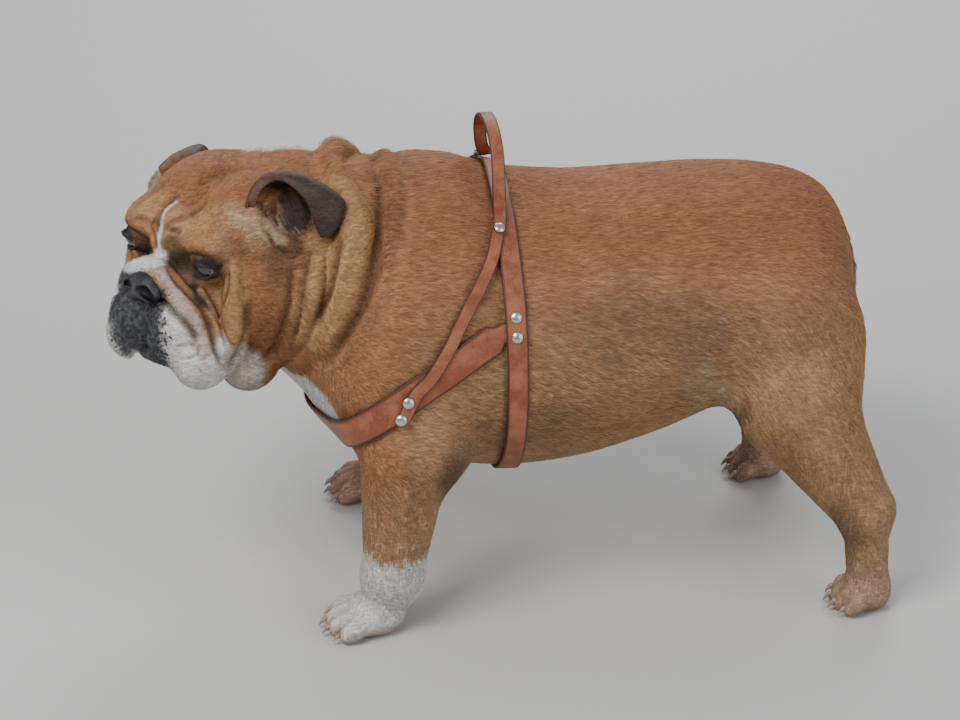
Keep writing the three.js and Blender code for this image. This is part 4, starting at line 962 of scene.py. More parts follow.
def lofted(rings, closed=False):
    """A closed skin of triangles through rings of equally many points; each open end gets a middle point."""
    n, m = rings.shape[:2]
    points = rings.reshape(-1, 3)
    row = np.arange(n if closed else n - 1)[:, None] * m
    a, b = row + np.arange(m), row + (np.arange(m) + 1) % m
    c, d = (b + m) % (n * m), (a + m) % (n * m)
    faces = [np.stack([a, b, c], -1).reshape(-1, 3), np.stack([a, c, d], -1).reshape(-1, 3)]
    if not closed:
        for first, turned in ((0, 1), ((n - 1) * m, -1)):
            edge = first + np.arange(m)
            points = np.vstack([points, points[edge].mean(0)])
            faces.append(np.column_stack([edge, np.roll(edge, turned), np.full(m, len(points) - 1)]))
    faces = np.vstack(faces)
    corners = points[faces]
    if np.einsum("ij,ij->", corners[:, 0], np.cross(corners[:, 1], corners[:, 2])) < 0:
        faces = faces[:, ::-1]
    return points, faces


def joined(parts):
    """Several meshes of triangles as one."""
    firsts = np.cumsum([0] + [len(points) for points, _ in parts])
    return (np.vstack([points for points, _ in parts]),
            np.vstack([faces + first for (_, faces), first in zip(parts, firsts)]))


eye_parts = []
eye_angles = []
for side in (1, -1):
    gaze = math.cos(math.radians(GAZE)) * FORWARDS + side * math.sin(math.radians(GAZE)) * LEFTWARDS
    gaze = unit(gaze - GAZE_DROP * UPWARDS)
    level_way = unit(np.cross(UPWARDS, gaze))
    upright = np.cross(gaze, level_way)
    angle = np.repeat(np.linspace(0.01, math.pi - 0.01, EYE_RINGS)[:, None], EYE_AROUND, 1)
    around = np.linspace(0, 2 * math.pi, EYE_AROUND, endpoint=False)[None]
    reach = (BALL_RADIUS + CORNEA_RISE * np.exp(-(angle / CORNEA_ANGLE) ** 4))[..., None]
    middle = head_point([EYE_PLACE[0], side * EYE_PLACE[1], EYE_PLACE[2]])
    ball = middle + reach * (
        np.cos(angle)[..., None] * gaze
        + (np.sin(angle) * np.cos(around))[..., None] * level_way
        + (np.sin(angle) * np.sin(around))[..., None] * upright)
    eye_parts.append(lofted(ball))
    eye_angles.append(np.append(angle.ravel(), [0, math.pi]))
for name, (points, faces), angles in zip(("eye_left", "eye_right"), eye_parts, eye_angles):
    eye_mesh = made_mesh(name + "_ball", points, faces)
    stamp(eye_mesh, "angle", angles)
    eye = Finish(name + "_wet", roughness=0.12, coat_weight=1.0, coat_roughness=0.03)
    off_gaze = eye.attribute("angle", "Fac")
    rays = eye.noise(eye.place((900, 900, 900)), 1.0, 2.0)
    iris = eye.mixed(IRIS_BROWN, IRIS_LIGHT, eye.level(rays, 0.4, 0.7))
    ball_tone = eye.mixed(iris, EYE_PALE, eye.level(off_gaze, IRIS_EDGE, IRIS_EDGE + 0.07))
    past_ring = eye.level(off_gaze, IRIS_EDGE + 0.02, IRIS_EDGE + RING_OUTSIDE)
    dark_ring = eye.level(off_gaze, IRIS_EDGE - RING_INSIDE, IRIS_EDGE) * (1 - past_ring)
    ball_tone = eye.mixed(ball_tone, PUPIL_BLACK, dark_ring)
    past_pupil = eye.level(off_gaze, PUPIL_EDGE, PUPIL_EDGE + 0.05)
    eye.feed("Base Color", eye.mixed(PUPIL_BLACK, ball_tone, past_pupil))
    eyeball = shown(eye_mesh, eye.material)
    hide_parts(name)


# The nose: a broad pad of bare black skin, pebbled and a little damp, at the end of the muzzle under the roll
# of the face. It has comma-shaped nostrils and a cleft down its middle.
NOSE_CELL = 0.8
NOSE_DARK = (0.016, 0.016, 0.019)
NOSE_WORN = (0.06, 0.06, 0.07)
NOSTRIL_SHADE_BLACK = (0.002, 0.002, 0.002)
NOSE_LOW = np.array([-420.0, -120.0, 265.0])
NOSE_HIGH = np.array([-355.0, -40.0, 320.0])
nose_shape = grown(lump([80, 0, -4], [13, 16, 11.5]), (5, lump([84, 11, -6], [8, 8.5, 7.5])))
nostril = roll([[92.5, 6, -1.5], [91, 10, -2.5], [88, 14, -6], [84, 16.5, -11]], [2.8, 4.6, 3.8, 2.2], 6)
philtrum = limb([96, 0, 4], [95, 0, -22], 1.6, 1.6)


def nose_field(p):
    f, l, u = in_head(p).T
    l = np.abs(l)
    pad = carve(nose_shape(f, l, u), nostril(f, l, u), 1.5)
    return carve(pad, philtrum(f, l, u), 2)


nose_points, nose_quads = surface_of(nose_field, NOSE_LOW, NOSE_HIGH, NOSE_CELL)
nose_skin = Finish("nose_skin", roughness=0.5, specular_ior_level=0.35)
pebbles = nose_skin.cells(nose_skin.place(), 950.0)
nose_worn = nose_skin.noise(nose_skin.place(), 120.0, 3.0)
nose_tone = nose_skin.mixed(NOSE_DARK, NOSE_WORN, nose_skin.level(nose_worn + pebbles * 0.4, 0.5, 0.9))
# The nostrils are darkened to near black: painted shade in their hollows.
nose_skin.feed("Base Color", nose_skin.mixed(nose_tone, NOSTRIL_SHADE_BLACK, nose_skin.attribute("hollow", "Fac")))
nose_skin.bump(1 - pebbles, 0.55, 0.0004)
nose_mesh = made_mesh("nose_pad", nose_points, nose_quads)
nose_f, nose_l, nose_u = in_head(nose_points).T
# The hollow attribute marks where the painted shade of the nostrils goes.
stamp(nose_mesh, "hollow", smooth_step(nostril(nose_f, np.abs(nose_l), nose_u), 1.6, 0.2))
nose = shown(nose_mesh, nose_skin.material)
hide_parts("nose")


# The ears: thin sheets of gristle and skin with short velvety dark hair, rooted at the upper corners of the
# skull and folded back like a rose petal. The far one lies lower and closer to the skull.
EAR_COLUMNS = np.array([
    [[12, 50, 53], [13, 51, 57], [13, 53, 60], [11, 55, 58], [9, 56, 55]],
    [[1, 46, 60], [0, 48, 68], [-3, 52, 74], [-3, 56, 73], [-1, 58, 70]],
    [[-18, 44, 60], [-21, 48, 69], [-22, 56, 75.5], [-19, 62, 75.5], [-15, 64, 72.5]],
    [[-36, 48, 54], [-38, 58, 64], [-36, 75, 70.5], [-29, 84, 68], [-20, 84, 61]],
    [[-45, 55, 40], [-49, 72, 48], [-48, 97, 54.5], [-36, 101, 54], [-22, 90, 46]],
    [[-43, 63, 28], [-46, 79, 36], [-42, 100, 44], [-33, 103, 40], [-23.5, 92, 36.5]],
    [[-39, 67, 22], [-41, 82, 27], [-38, 97, 33.5], [-32, 99.5, 29], [-26, 94.5, 28]],
], float)
EAR_THICKNESS = 3.0
EAR_EDGE = 0.3
EAR_ACROSS = 25
EAR_ALONG = 49


def folded_flat(place):
    """The right ear is folded lower and closer to the skull."""
    f, l, u = place
    spread = max(l - 54, 0)
    return [f - 0.2 * spread, l - 0.45 * spread, min(u, 60 + (u - 60) * 0.3) - 0.3 * spread]


def ear_sheet(side):
    """The ear's middle sheet as a grid of places, from its root to its tip and from crest to free edge."""
    columns = EAR_COLUMNS
    if side < 0:
        columns = np.array([[folded_flat(place) for place in column] for column in EAR_COLUMNS])
    rows = np.array([smooth_path(column, EAR_ACROSS) for column in columns])
    sheet = np.stack([smooth_path(rows[:, k], EAR_ALONG) for k in range(EAR_ACROSS)], 1)
    return head_point(sheet * [1, side, 1])


ear_coat = Finish("ear_coat", roughness=0.55, specular_ior_level=0.25)
ear_streaks = ear_coat.noise(ear_coat.place((260, 260, 900)), 1.0, 3.0, 0.6)
ear_depth = ear_coat.level(ear_streaks, 0.3, 0.72, 0.65, 1.35)
ear_coat.feed("Base Color", ear_coat.shaded(ear_coat.attribute("tint"), ear_depth))
ear_coat.bump(ear_streaks, 0.4, 0.0006)
for name, side in (("ear_left", 1), ("ear_right", -1)):
    sheet = ear_sheet(side)
    slope_a, slope_b = np.gradient(sheet, axis=0), np.gradient(sheet, axis=1)
    facing = unit(np.cross(slope_a, slope_b))
    along = np.linspace(0, 1, EAR_ALONG)[:, None]
    across = np.linspace(0, 1, EAR_ACROSS)[None]
    from_ends = np.minimum(along * 3, (1 - along) * 3)
    from_edge = np.minimum(from_ends, np.minimum(across * 1.2 + 0.3, (1 - across) * 1.6))
    fullness = EAR_EDGE + (1 - EAR_EDGE) * np.sqrt(np.clip(from_edge * 5, 0, 1))
    half = EAR_THICKNESS / 2 * fullness[..., None]
    rings = np.concatenate([sheet + facing * half, (sheet - facing * half)[:, ::-1]], 1)
    points, faces = lofted(rings)
    ear_mesh = made_mesh(name + "_flap", points, faces)
    inner = np.concatenate([np.zeros_like(across), np.ones_like(across)], 1) * np.ones_like(along)
    near_root = smooth_step(along * np.ones_like(inner), 0.5, 0.05)
    tone = np.array(EAR_BROWN) * (1 + 0.25 * ripple(rings.reshape(-1, 3), 21)).reshape(inner.shape)[..., None]
    tone = tone + (np.array(HEAD_RED) * 0.7 - tone) * (0.7 * near_root * (1 - 0.6 * inner))[..., None]
    tone = np.vstack([tone.reshape(-1, 3), tone[0].mean(0)[None], tone[-1].mean(0)[None]])
    stamp(ear_mesh, "tint", tone)
    ear = shown(ear_mesh, ear_coat.material)
    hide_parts(name)


# The claws: short blunt curved horns, pale and streaked. One grows from the tip of each toe, and its point is
# just clear of the floor.
CLAW_LINE = np.array([[3, 9, 2.6], [0.5, 8.9, 2.5], [-1.5, 7.6, 2.2], [-3.4, 5.6, 1.5], [-4.5, 3.4, 0.7]])
HORN_DARK = (0.2, 0.145, 0.11)
HORN_PALE = (0.42, 0.33, 0.26)
CLAW_ROUND = 12
CLAW_FLATNESS = 0.8
claw_parts = []
claw_names = []
for name, place in PAWS.items():
    px, py, length, width, heading = place
    c, s = math.cos(math.radians(heading)), math.sin(math.radians(heading))
    for number, n in enumerate(TOES, 1):
        r, _, _, tip = toe_line(length, width, n)
        horn = smooth_path(CLAW_LINE, 9)
        turn_by = np.linspace(0, 2 * math.pi, CLAW_ROUND, endpoint=False)
        ahead = (tip[0] - r + horn[:, :1]) * np.ones((1, CLAW_ROUND))
        beside = tip[1] + horn[:, 2:] * CLAW_FLATNESS * np.cos(turn_by)
        height = horn[:, 1:2] + horn[:, 2:] * np.sin(turn_by)
        rings = np.stack([px + ahead * c - beside * s, py + ahead * s + beside * c, height], -1)
        claw_parts.append(lofted(rings))
        claw_names.append("claw_" + name.replace("paw", "") + f"_{number}")
horn_finish = Finish("horn", roughness=0.35, specular_ior_level=0.5)
horn_grain = horn_finish.noise(horn_finish.place((900, 200, 200)), 1.0, 2.0)
horn_streaks = horn_finish.level(horn_grain, 0.3, 0.7)
horn_finish.feed("Base Color", horn_finish.mixed(HORN_DARK, HORN_PALE, horn_streaks))
claws = shown(made_mesh("claws", *joined(claw_parts)), horn_finish.material)
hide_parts(*claw_names)


# The harness: straps of chestnut leather, burnished dark along their edges, laid on the coat and riveted
# together. The girth strap goes right round the trunk behind the elbows, and is closed by a buckle on the
# dog's right side.
LEATHER = 2.4
LIFT = 1.2
GAP = 0.3
GIRTH_WIDTH = 17.5
GIRTH_X = -86
GIRTH_BOW = 5
GIRTH_HALF_HEIGHT = 125
BODY_MIDDLE = 215
TAB_PLACE = 262
TAB_LIFT = 2.3
STRAP_HALF = np.array([
    (0.35, 1.0), (0.7, 0.97), (0.78, 0.9), (0.84, 1.0), (0.93, 1.0), (0.985, 0.85), (1, 0.55), (1, 0.05)])
STRAP_SECTION = np.vstack([STRAP_HALF[::-1] * [-1, 1], [(0, 1.0)], STRAP_HALF, [(0.5, 0), (0, 0), (-0.5, 0)]])
LEATHER_BROWN = (0.235, 0.066, 0.03)
LEATHER_LIGHT = (0.36, 0.125, 0.06)
LEATHER_EDGE = (0.045, 0.014, 0.012)


def outward(places):
    """The directions in which the outer form faces at places."""
    step = 0.5
    slopes = [flesh(places + step * way) - flesh(places - step * way) for way in np.eye(3)]
    return unit(np.stack(slopes, -1))


def settled(places, rounds=7):
    """The nearest places on the outer form."""
    for _ in range(rounds):
        places = places - outward(places) * flesh(places)[:, None]
    return places


def spaced(guides, count):
    """Points at equal distances along a smooth curve through the guides."""
    path = smooth_path(guides, 600)
    run = np.append(0, np.cumsum(np.linalg.norm(np.diff(path, axis=0), axis=1)))
    at = np.linspace(0, run[-1], count)
    return np.column_stack([np.interp(at, run, path[:, k]) for k in range(3)])


def strap_mesh(name, rings, width, closed=False):
    """A strap through its rings, stamped with its run and with the place across it, from -1 to 1."""
    points, faces = lofted(rings, closed)
    mesh = made_mesh(name, points, faces)
    middles = rings.mean(1)
    run = np.append(0, np.cumsum(np.linalg.norm(np.diff(middles, axis=0), axis=1)))
    m = rings.shape[1]
    stamped_run = np.repeat(run, m)
    stamped_across = np.tile(STRAP_SECTION[:, 0], len(rings))
    if not closed:
        stamped_run = np.append(stamped_run, [run[0], run[-1]])
        stamped_across = np.append(stamped_across, [1, 1])
    stamp(mesh, "run", stamped_run / width)
    stamp(mesh, "across", stamped_across)
    return mesh


def strap_on_skin(path, width, lift, thickness, closed=False):
    """The rings of a strap that lies on the coat; its width, lift and thickness are given along its run."""
    t = np.linspace(0, 1, len(path))
    if closed:
        ahead = np.roll(path, -1, 0) - np.roll(path, 1, 0)
    else:
        ahead = np.gradient(path, axis=0)
    across = unit(np.cross(ahead, outward(path)))
    half = np.broadcast_to(width(t), t.shape) / 2
    places = path[:, None] + across[:, None] * (half[:, None] * STRAP_SECTION[:, 0])[..., None]
    foot = settled(places.reshape(-1, 3))
    rise = lift(np.repeat(t, len(STRAP_SECTION)), foot)
    rise = rise + (np.broadcast_to(thickness(t), t.shape)[:, None] * STRAP_SECTION[:, 1]).ravel()
    return (foot + outward(foot) * np.broadcast_to(rise, len(foot))[:, None]).reshape(len(path), -1, 3)


leather_finish = Finish("leather", roughness=0.5, specular_ior_level=0.4)
grain_place = leather_finish.place()
grain = leather_finish.noise(grain_place, 900.0, 4.0, 0.65)
wear = leather_finish.noise(grain_place, 60.0, 4.0, 0.6)
from_middle = abs(leather_finish.attribute("across", "Fac"))
leather_tone = leather_finish.mixed(LEATHER_BROWN, LEATHER_LIGHT, leather_finish.level(wear, 0.38, 0.66))
pores = leather_finish.level(grain, 0.35, 0.5)
leather_tone = leather_finish.mixed(LEATHER_EDGE, leather_tone, pores * 0.45 + 0.55)
burnished = leather_finish.level(from_middle + (wear - 0.5) * 0.25, 0.74, 0.93)
leather_finish.feed("Base Color", leather_finish.mixed(leather_tone, LEATHER_EDGE, burnished * 0.85))
leather_finish.feed("Roughness", leather_finish.level(wear + grain * 0.3, 0.4, 0.9, 0.4, 0.62))
leather_finish.bump(grain + wear * 0.8, 0.35, 0.0006)


def girth_line(z):
    """The girth strap leans back a little above and below the middle of the body."""
    return GIRTH_X - GIRTH_BOW * ((z - BODY_MIDDLE) / GIRTH_HALF_HEIGHT) ** 2


GIRTH_RINGS = 220
ROUGH_GIRTH = (150, 130)
round_trunk = (np.arange(GIRTH_RINGS) + 0.5) / GIRTH_RINGS * 2 * math.pi
girth_path = np.column_stack([
    girth_line(BODY_MIDDLE) * np.ones(GIRTH_RINGS),
    ROUGH_GIRTH[0] * np.sin(round_trunk),
    BODY_MIDDLE + ROUGH_GIRTH[1] * np.cos(round_trunk)])
for _ in range(3):
    girth_path = settled(girth_path)
    girth_path[:, 0] = girth_line(girth_path[:, 2])
girth_path = settled(girth_path)


def girth_lift(t, foot):
    """The girth strap rises where it passes over the tabs of the chest strap."""
    return LIFT + TAB_LIFT * smooth_step(np.abs(foot[:, 2] - TAB_PLACE), 34, 18)


girth_rings = strap_on_skin(girth_path, lambda t: GIRTH_WIDTH, girth_lift, lambda t: LEATHER, closed=True)
girth = shown(strap_mesh("girth", girth_rings, GIRTH_WIDTH, closed=True), leather_finish.material)
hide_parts("girth_strap")

# The chest strap: the widest strap, which crosses the front of the chest. Each end is cut down to a thin
# narrow tab that passes under the girth strap and is riveted to it.
CHEST_WIDTH = 25
CHEST_TAB_WIDTH = 16
TAB_THICKNESS = 1.1
CHEST_GUIDES = np.array([
    [-84, -129, 262], [-98, -129, 258], [-127, -136, 241.5], [-150, -142, 228], [-178, -148, 211],
    [-202, -144, 193], [-219, -128, 177], [-231, -98, 164.5], [-243, -58, 155]])
MIRROR_Y = np.array([1, -1, 1])
chest_guides = np.vstack([CHEST_GUIDES, [[-249, 0, 150]], CHEST_GUIDES[::-1] * MIRROR_Y])
chest_path = settled(spaced(settled(chest_guides), 230))


def chest_tab(t):
    """1 on the two tabs at the ends of the chest strap, 0 between them."""
    return smooth_step(np.minimum(t, 1 - t), 0.04, 0.028)


chest_rings = strap_on_skin(
    chest_path,
    lambda t: CHEST_WIDTH + (CHEST_TAB_WIDTH - CHEST_WIDTH) * chest_tab(t),
    lambda t, foot: np.full(len(foot), LIFT),
    lambda t: LEATHER + (TAB_THICKNESS - LEATHER) * chest_tab(t))
chest = shown(strap_mesh("chest", chest_rings, CHEST_WIDTH), leather_finish.material)
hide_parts("chest_strap")

# The side straps: a narrow strap on each side, with a rounded foot riveted to the chest strap. It runs up
# over the girth strap to the back, where the handle starts.
THIN_WIDTH = 10.8
OVER = LIFT + LEATHER + GAP + 0.1
SIDE_GUIDES = np.array([
    [-182, -152, 192], [-170, -146, 216], [-157, -142, 229], [-141, -135, 253], [-123, -121, 281],
    [-105.5, -99, 305], [-98.2, -77.4, 320.3]])


def side_lift(t, foot):
    """A side strap lies on the coat only between the chest strap and the girth strap, and over both."""
    return LIFT + (OVER - LIFT) * (1 - smooth_step(t, 0.42, 0.5) * (1 - smooth_step(t, 0.62, 0.7)))


def rounded_end(t):
    """The width of a strap whose lower end is rounded."""
    return THIN_WIDTH * np.sqrt(np.clip(1 - (1 - np.clip(t / 0.035, 0, 1)) ** 2, 0.12, 1))


strap_paths = [girth_path, chest_path]
for name, way in (("left", 1), ("right", -1)):
    side_path = settled(spaced(settled(SIDE_GUIDES * [1, way, 1]), 120))
    side_rings = strap_on_skin(side_path, rounded_end, side_lift, lambda t: LEATHER)
    side_strap = shown(strap_mesh("side_" + name, side_rings, THIN_WIDTH), leather_finish.material)
    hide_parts("side_strap_" + name)
    strap_paths.append(side_path)

# The handle: a loop of the same narrow strap that stands up over the withers, for a hand to hold the dog by.
# A rivet holds each of its feet to the top of a side strap.
HANDLE_TOP = 392
LOOP_MIDDLE = np.array([-98, 0, 300])
HANDLE_FEET = np.array([[-96.8, -74.6, 322.4], [-94.8, -65, 328.6], [-94, -55, 334]])
handle_feet = settled(HANDLE_FEET)
handle_feet = handle_feet + outward(handle_feet) * (OVER + 2)
handle_guides = np.vstack([
    handle_feet,
    [[-93, -51, 354], [-93, -40, 374], [-94, -22, HANDLE_TOP - 6], [-96, 0, HANDLE_TOP - 1],
     [-98, 22, HANDLE_TOP - 6], [-99, 40, 371], [-97, 50, 350]],
    handle_feet[::-1] * MIRROR_Y])
handle_path = spaced(handle_guides, 150)
handle_ahead = unit(np.gradient(handle_path, axis=0))
handle_across = unit(np.array([1.0, 0, 0]) - handle_ahead * handle_ahead[:, :1])
handle_out = np.cross(handle_ahead, handle_across)
inside_loop = np.einsum("ij,ij->i", handle_out, handle_path - LOOP_MIDDLE) < 0
handle_out[inside_loop] *= -1
handle_rings = (handle_path[:, None] + handle_across[:, None] * (THIN_WIDTH / 2 * STRAP_SECTION[:, :1])
                + handle_out[:, None] * (LEATHER * STRAP_SECTION[:, 1:]))
handle = shown(strap_mesh("handle", handle_rings, THIN_WIDTH), leather_finish.material)
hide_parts("handle_strap")

# The rivets: domed heads of nickel-plated steel. On each side two hold the end of the chest strap to the
# girth strap, two hold the foot of the side strap, and one holds the foot of the handle.
RIVET_RADIUS = 4.75
RIVET_ROUND = 28
RIVET_POINT = 0.05 / RIVET_RADIUS
RIVET_DOME = np.array([(RIVET_POINT, -0.2), (1, -0.2), (1, 0.25), (0.93, 0.75), (0.75, 1.3), (0.5, 1.75),
                       (0.25, 1.98), (RIVET_POINT, 2.05)])
RIVETS = (
    ("top", (-97.5, -76, 321.4), OVER + LEATHER + 2.9),
    ("girth_upper", (-87, -123, 269), LIFT + TAB_LIFT + LEATHER),
    ("girth_lower", (-86.5, -129, 255), LIFT + TAB_LIFT + LEATHER),
    ("chest_upper", (-175.5, -148, 211), OVER + LEATHER),
    ("chest_lower", (-181, -151, 197.5), OVER + LEATHER),
)
NICKEL_GREY = (0.62, 0.6, 0.56)
nickel = Finish("nickel", metallic=1.0, base_color=NICKEL_GREY)
scuffs = nickel.noise(nickel.place(), 700.0, 3.0)
nickel.feed("Roughness", nickel.level(scuffs, 0.35, 0.7, 0.18, 0.4))
rivet_parts = []
rivet_names = []
for name, way in (("left", 1), ("right", -1)):
    for where, place, height in RIVETS:
        foot = settled(np.array([[place[0], way * place[1], place[2]]], float))
        out = outward(foot)[0]
        level_way = unit(np.cross(out, [1.0, 0, 0]))
        upright = np.cross(out, level_way)
        middle = foot[0] + out * (height + GAP)
        turn_by = np.linspace(0, 2 * math.pi, RIVET_ROUND, endpoint=False)
        circle = np.cos(turn_by)[:, None] * level_way + np.sin(turn_by)[:, None] * upright
        wide, high = RIVET_DOME.T[..., None, None]
        rings = middle + RIVET_RADIUS * wide * circle + high * out
        rivet_parts.append(lofted(rings))
        rivet_names.append(f"rivet_{where}_{name}")
rivets = shown(made_mesh("rivets", *joined(rivet_parts)), nickel.material)
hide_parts(*rivet_names)

# The buckle, low on the dog's right side: a frame of bent nickel wire with a tongue. The girth strap's narrow
# end goes through it and a leather keeper, and the strap's other end is folded round its bar.
BUCKLE_Z = 196
BUCKLE_WIRE = 1.5
BILLET_WIDTH = 15
BILLET_THICKNESS = 2
CHAPE_WIDTH = 14
CHAPE_FOLD = 4.4
BILLET_RUN = (-4, 62)
CHAPE_RUN = (-31, -8.6)
FRAME_HALF = 13
FRAME_BACK = -11
FRAME_FRONT = 9
FRAME_CORNER = 3
SPARE = 0.1
BILLET_LIFT = LEATHER + GAP + SPARE
BILLET_TOP = GAP + SPARE + BILLET_THICKNESS
TONGUE_LINE = np.array([[-7.6, 0, 3.6], [0, 0, 5.2], [9, 0, 7.4], [12.5, 0, 7.1]])
buckle_middle = settled(np.array([[girth_line(BUCKLE_Z), 140.0, BUCKLE_Z]]))
down_strap = unit(np.cross(outward(buckle_middle), [1.0, 0, 0]))
across_strap = unit(np.cross(outward(buckle_middle), down_strap))


def on_girth(places):
    """Places given by how far down the girth strap, how far across it and how high over it."""
    down, beside, over = np.array(places, float).T[..., None]
    foot = settled(buckle_middle + down_strap * down)
    return foot + across_strap * beside + outward(foot) * (LIFT + LEATHER + over)


def wire(points, radii, closed=False):
    """A round wire through points."""
    ahead = unit(np.roll(points, -1, 0) - np.roll(points, 1, 0) if closed else np.gradient(points, axis=0))
    beside = unit(np.cross(ahead, outward(points.mean(0)[None])))
    over = np.cross(beside, ahead)
    turned = np.linspace(0, 2 * math.pi, 12, endpoint=False)[:, None]
    ring = np.cos(turned) * beside[:, None] + np.sin(turned) * over[:, None]
    return lofted(points[:, None] + np.broadcast_to(radii, len(points))[:, None, None] * ring, closed)


def down_girth(start, end):
    return settled(buckle_middle + down_strap * np.linspace(start, end, 60)[:, None])


quarter = np.linspace(0, math.pi / 2, 6)
front, back, beside = FRAME_FRONT - FRAME_CORNER, FRAME_BACK + FRAME_CORNER, FRAME_HALF - FRAME_CORNER
frame_line = np.vstack([
    np.column_stack([s + FRAME_CORNER * np.cos(quarter + n * math.pi / 2),
                     c + FRAME_CORNER * np.sin(quarter + n * math.pi / 2)])
    for n, (s, c) in enumerate(((front, beside), (back, beside), (back, -beside), (front, -beside)))])
low_bar, high_bar = 2.3, BILLET_TOP + GAP + BUCKLE_WIRE
bar_height = low_bar + (high_bar - low_bar) * (frame_line[:, 0] - FRAME_BACK) / (FRAME_FRONT - FRAME_BACK)
frame_wire = wire(on_girth(np.column_stack([frame_line, bar_height])), BUCKLE_WIRE, closed=True)
tongue_wire = wire(on_girth(smooth_path(TONGUE_LINE, 20)), np.linspace(1.2, 0.9, 20))
buckle = shown(made_mesh("buckle", *joined([frame_wire, tongue_wire])), nickel.material)
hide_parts("buckle_frame", "buckle_tongue")


def billet_width(t):
    """The billet ends in a rounded point."""
    return BILLET_WIDTH * np.sqrt(np.clip(1 - np.clip((t - 0.86) / 0.14, 0, 1) ** 2, 0.08, 1))


def over_girth(t, foot):
    return np.full(len(foot), LIFT + BILLET_LIFT)


billet_rings = strap_on_skin(down_girth(*BILLET_RUN), billet_width, over_girth, lambda t: BILLET_THICKNESS)
chape_rings = strap_on_skin(
    down_girth(*CHAPE_RUN), lambda t: CHAPE_WIDTH, over_girth,
    lambda t: BILLET_THICKNESS + (CHAPE_FOLD - BILLET_THICKNESS) * smooth_step(t, 0.5, 0.75))
KEEPER_DOWN = 23
KEEPER_WIDTH = 6
KEEPER_THICKNESS = 1.6
KEEPER_FOOT = 0.6 - LEATHER
keeper_half = GIRTH_WIDTH / 2 + 0.5
keeper_top = BILLET_TOP + 0.7
keeper_faces = np.concatenate([[0, 0], quarter, math.pi - quarter[::-1], [math.pi, math.pi]])
keeper_line = np.column_stack([
    np.sign(np.cos(keeper_faces)) * keeper_half,
    np.concatenate([[KEEPER_FOOT, 0.5], np.full(2 * len(quarter), keeper_top), [0.5, KEEPER_FOOT]])])
keeper_out = np.column_stack([np.cos(keeper_faces), np.sin(keeper_faces)])
keeper_section = np.array([
    [[KEEPER_DOWN + KEEPER_WIDTH / 2 * a, *(place + out * KEEPER_THICKNESS * b)] for a, b in STRAP_SECTION]
    for place, out in zip(keeper_line, keeper_out)])
keeper_rings = on_girth(keeper_section.reshape(-1, 3)).reshape(keeper_section.shape)
for name, node, rings, width in (("billet", "girth_billet", billet_rings, BILLET_WIDTH),
                                 ("chape", "girth_chape", chape_rings, CHAPE_WIDTH),
                                 ("keeper", "strap_keeper", keeper_rings, KEEPER_WIDTH)):
    piece = shown(strap_mesh(name, rings, width), leather_finish.material)
    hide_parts(node)


# The coat: short smooth hair that lies along the body, shorter on the legs and shortest on the face and toes.
# Each tuft is a spike of three faces rooted on the skin. Its colour is the skin's at its root, darker at its
# foot and lighter at its tip.
TUFT_SEED = 11
TUFT_COUNT = 392000
HAIR_JITTER = 0.2
TUFT_SHADES = 0.13
FOOT_SHADES = (0.72, 0.72, 0.9)
TIP_SHADE = 1.16
OFBAKE_PATCH = 0.003
TRUNK_HAIR = 9.5
HEAD_HAIR = 5.0
SHORTEST_SPACED = 3.6
THIN_TUFT = 0.16
TUFT_TAPER = 0.055
BARE_SOLE = 3.5


def lie_of_hair(places):
    """The way the hair lies: back from the nose, along the body to the tail, and down the chest and legs."""
    x, y, z = places.T
    f, l, u = in_head(places).T
    side = np.sign(y)[:, None]
    lie = np.array([1.0, 0, -0.1]) + np.array([0, 0, -0.35]) * smooth_step(z, 330, 230)[:, None]
    thigh = smooth_step(x, 80, 170) * smooth_step(z, 320, 220)
    lie = lie + np.array([-0.35, 0, -0.9]) * thigh[:, None]
    on_leg = smooth_step(z, 175, 125) * np.maximum(smooth_step(np.abs(y), 62, 85), smooth_step(z, 105, 90))
    lie = lie * (1 - on_leg)[:, None] + np.array([0.12, 0, -1.0]) * on_leg[:, None]
    on_chest = smooth_step(x, -215, -250) * smooth_step(z, 275, 225)
    lie = lie * (1 - on_chest)[:, None] + (np.array([0.2, 0, -1.0]) + side * [0, 0.3, 0]) * on_chest[:, None]
    on_neck = smooth_step(x, -190, -225) * smooth_step(z, 225, 280)
    lie = lie + np.array([0, 0, -0.75]) * on_neck[:, None]
    on_head = smooth_step(f + 0.25 * u, -62, -40)[:, None]
    rising = np.where(u > 12, 0.35, -0.45)[:, None]
    head_lie = -FORWARDS + UPWARDS * rising + np.sign(l)[:, None] * LEFTWARDS * 0.2
    on_muzzle = smooth_step(f, 58, 72)[:, None]
    head_lie = head_lie - UPWARDS * 0.6 * on_muzzle + np.sign(l)[:, None] * LEFTWARDS * 0.7 * on_muzzle
    in_ear = smooth_step(ear_hollow(f, np.abs(l), u), 6, 0)[:, None]
    head_lie = head_lie * (1 - in_ear) + (np.sign(l)[:, None] * LEFTWARDS * 0.4 - UPWARDS) * in_ear
    lie = lie * (1 - on_head) + head_lie * on_head
    on_tail = smooth_step(tail(x, y, z), 3, 0)[:, None]
    return lie * (1 - on_tail) + np.array([0.3, 0, -1.0]) * on_tail


def hair_length(places):
    """The length of the hair in millimetres."""
    x, y, z = places.T
    f, l, u = in_head(places).T
    length = TRUNK_HAIR - 3.5 * smooth_step(z, 190, 90) - 2.8 * smooth_step(z, 60, 15)
    on_head = smooth_step(f + 0.25 * u, -62, -40)
    length = length * (1 - on_head) + HEAD_HAIR * on_head
    length = length - 2.8 * on_head * smooth_step(f, 0, 50)
    length = length + 3.0 * on_head * smooth_step(ear_hollow(f, np.abs(l), u), 6, 0)
    return length


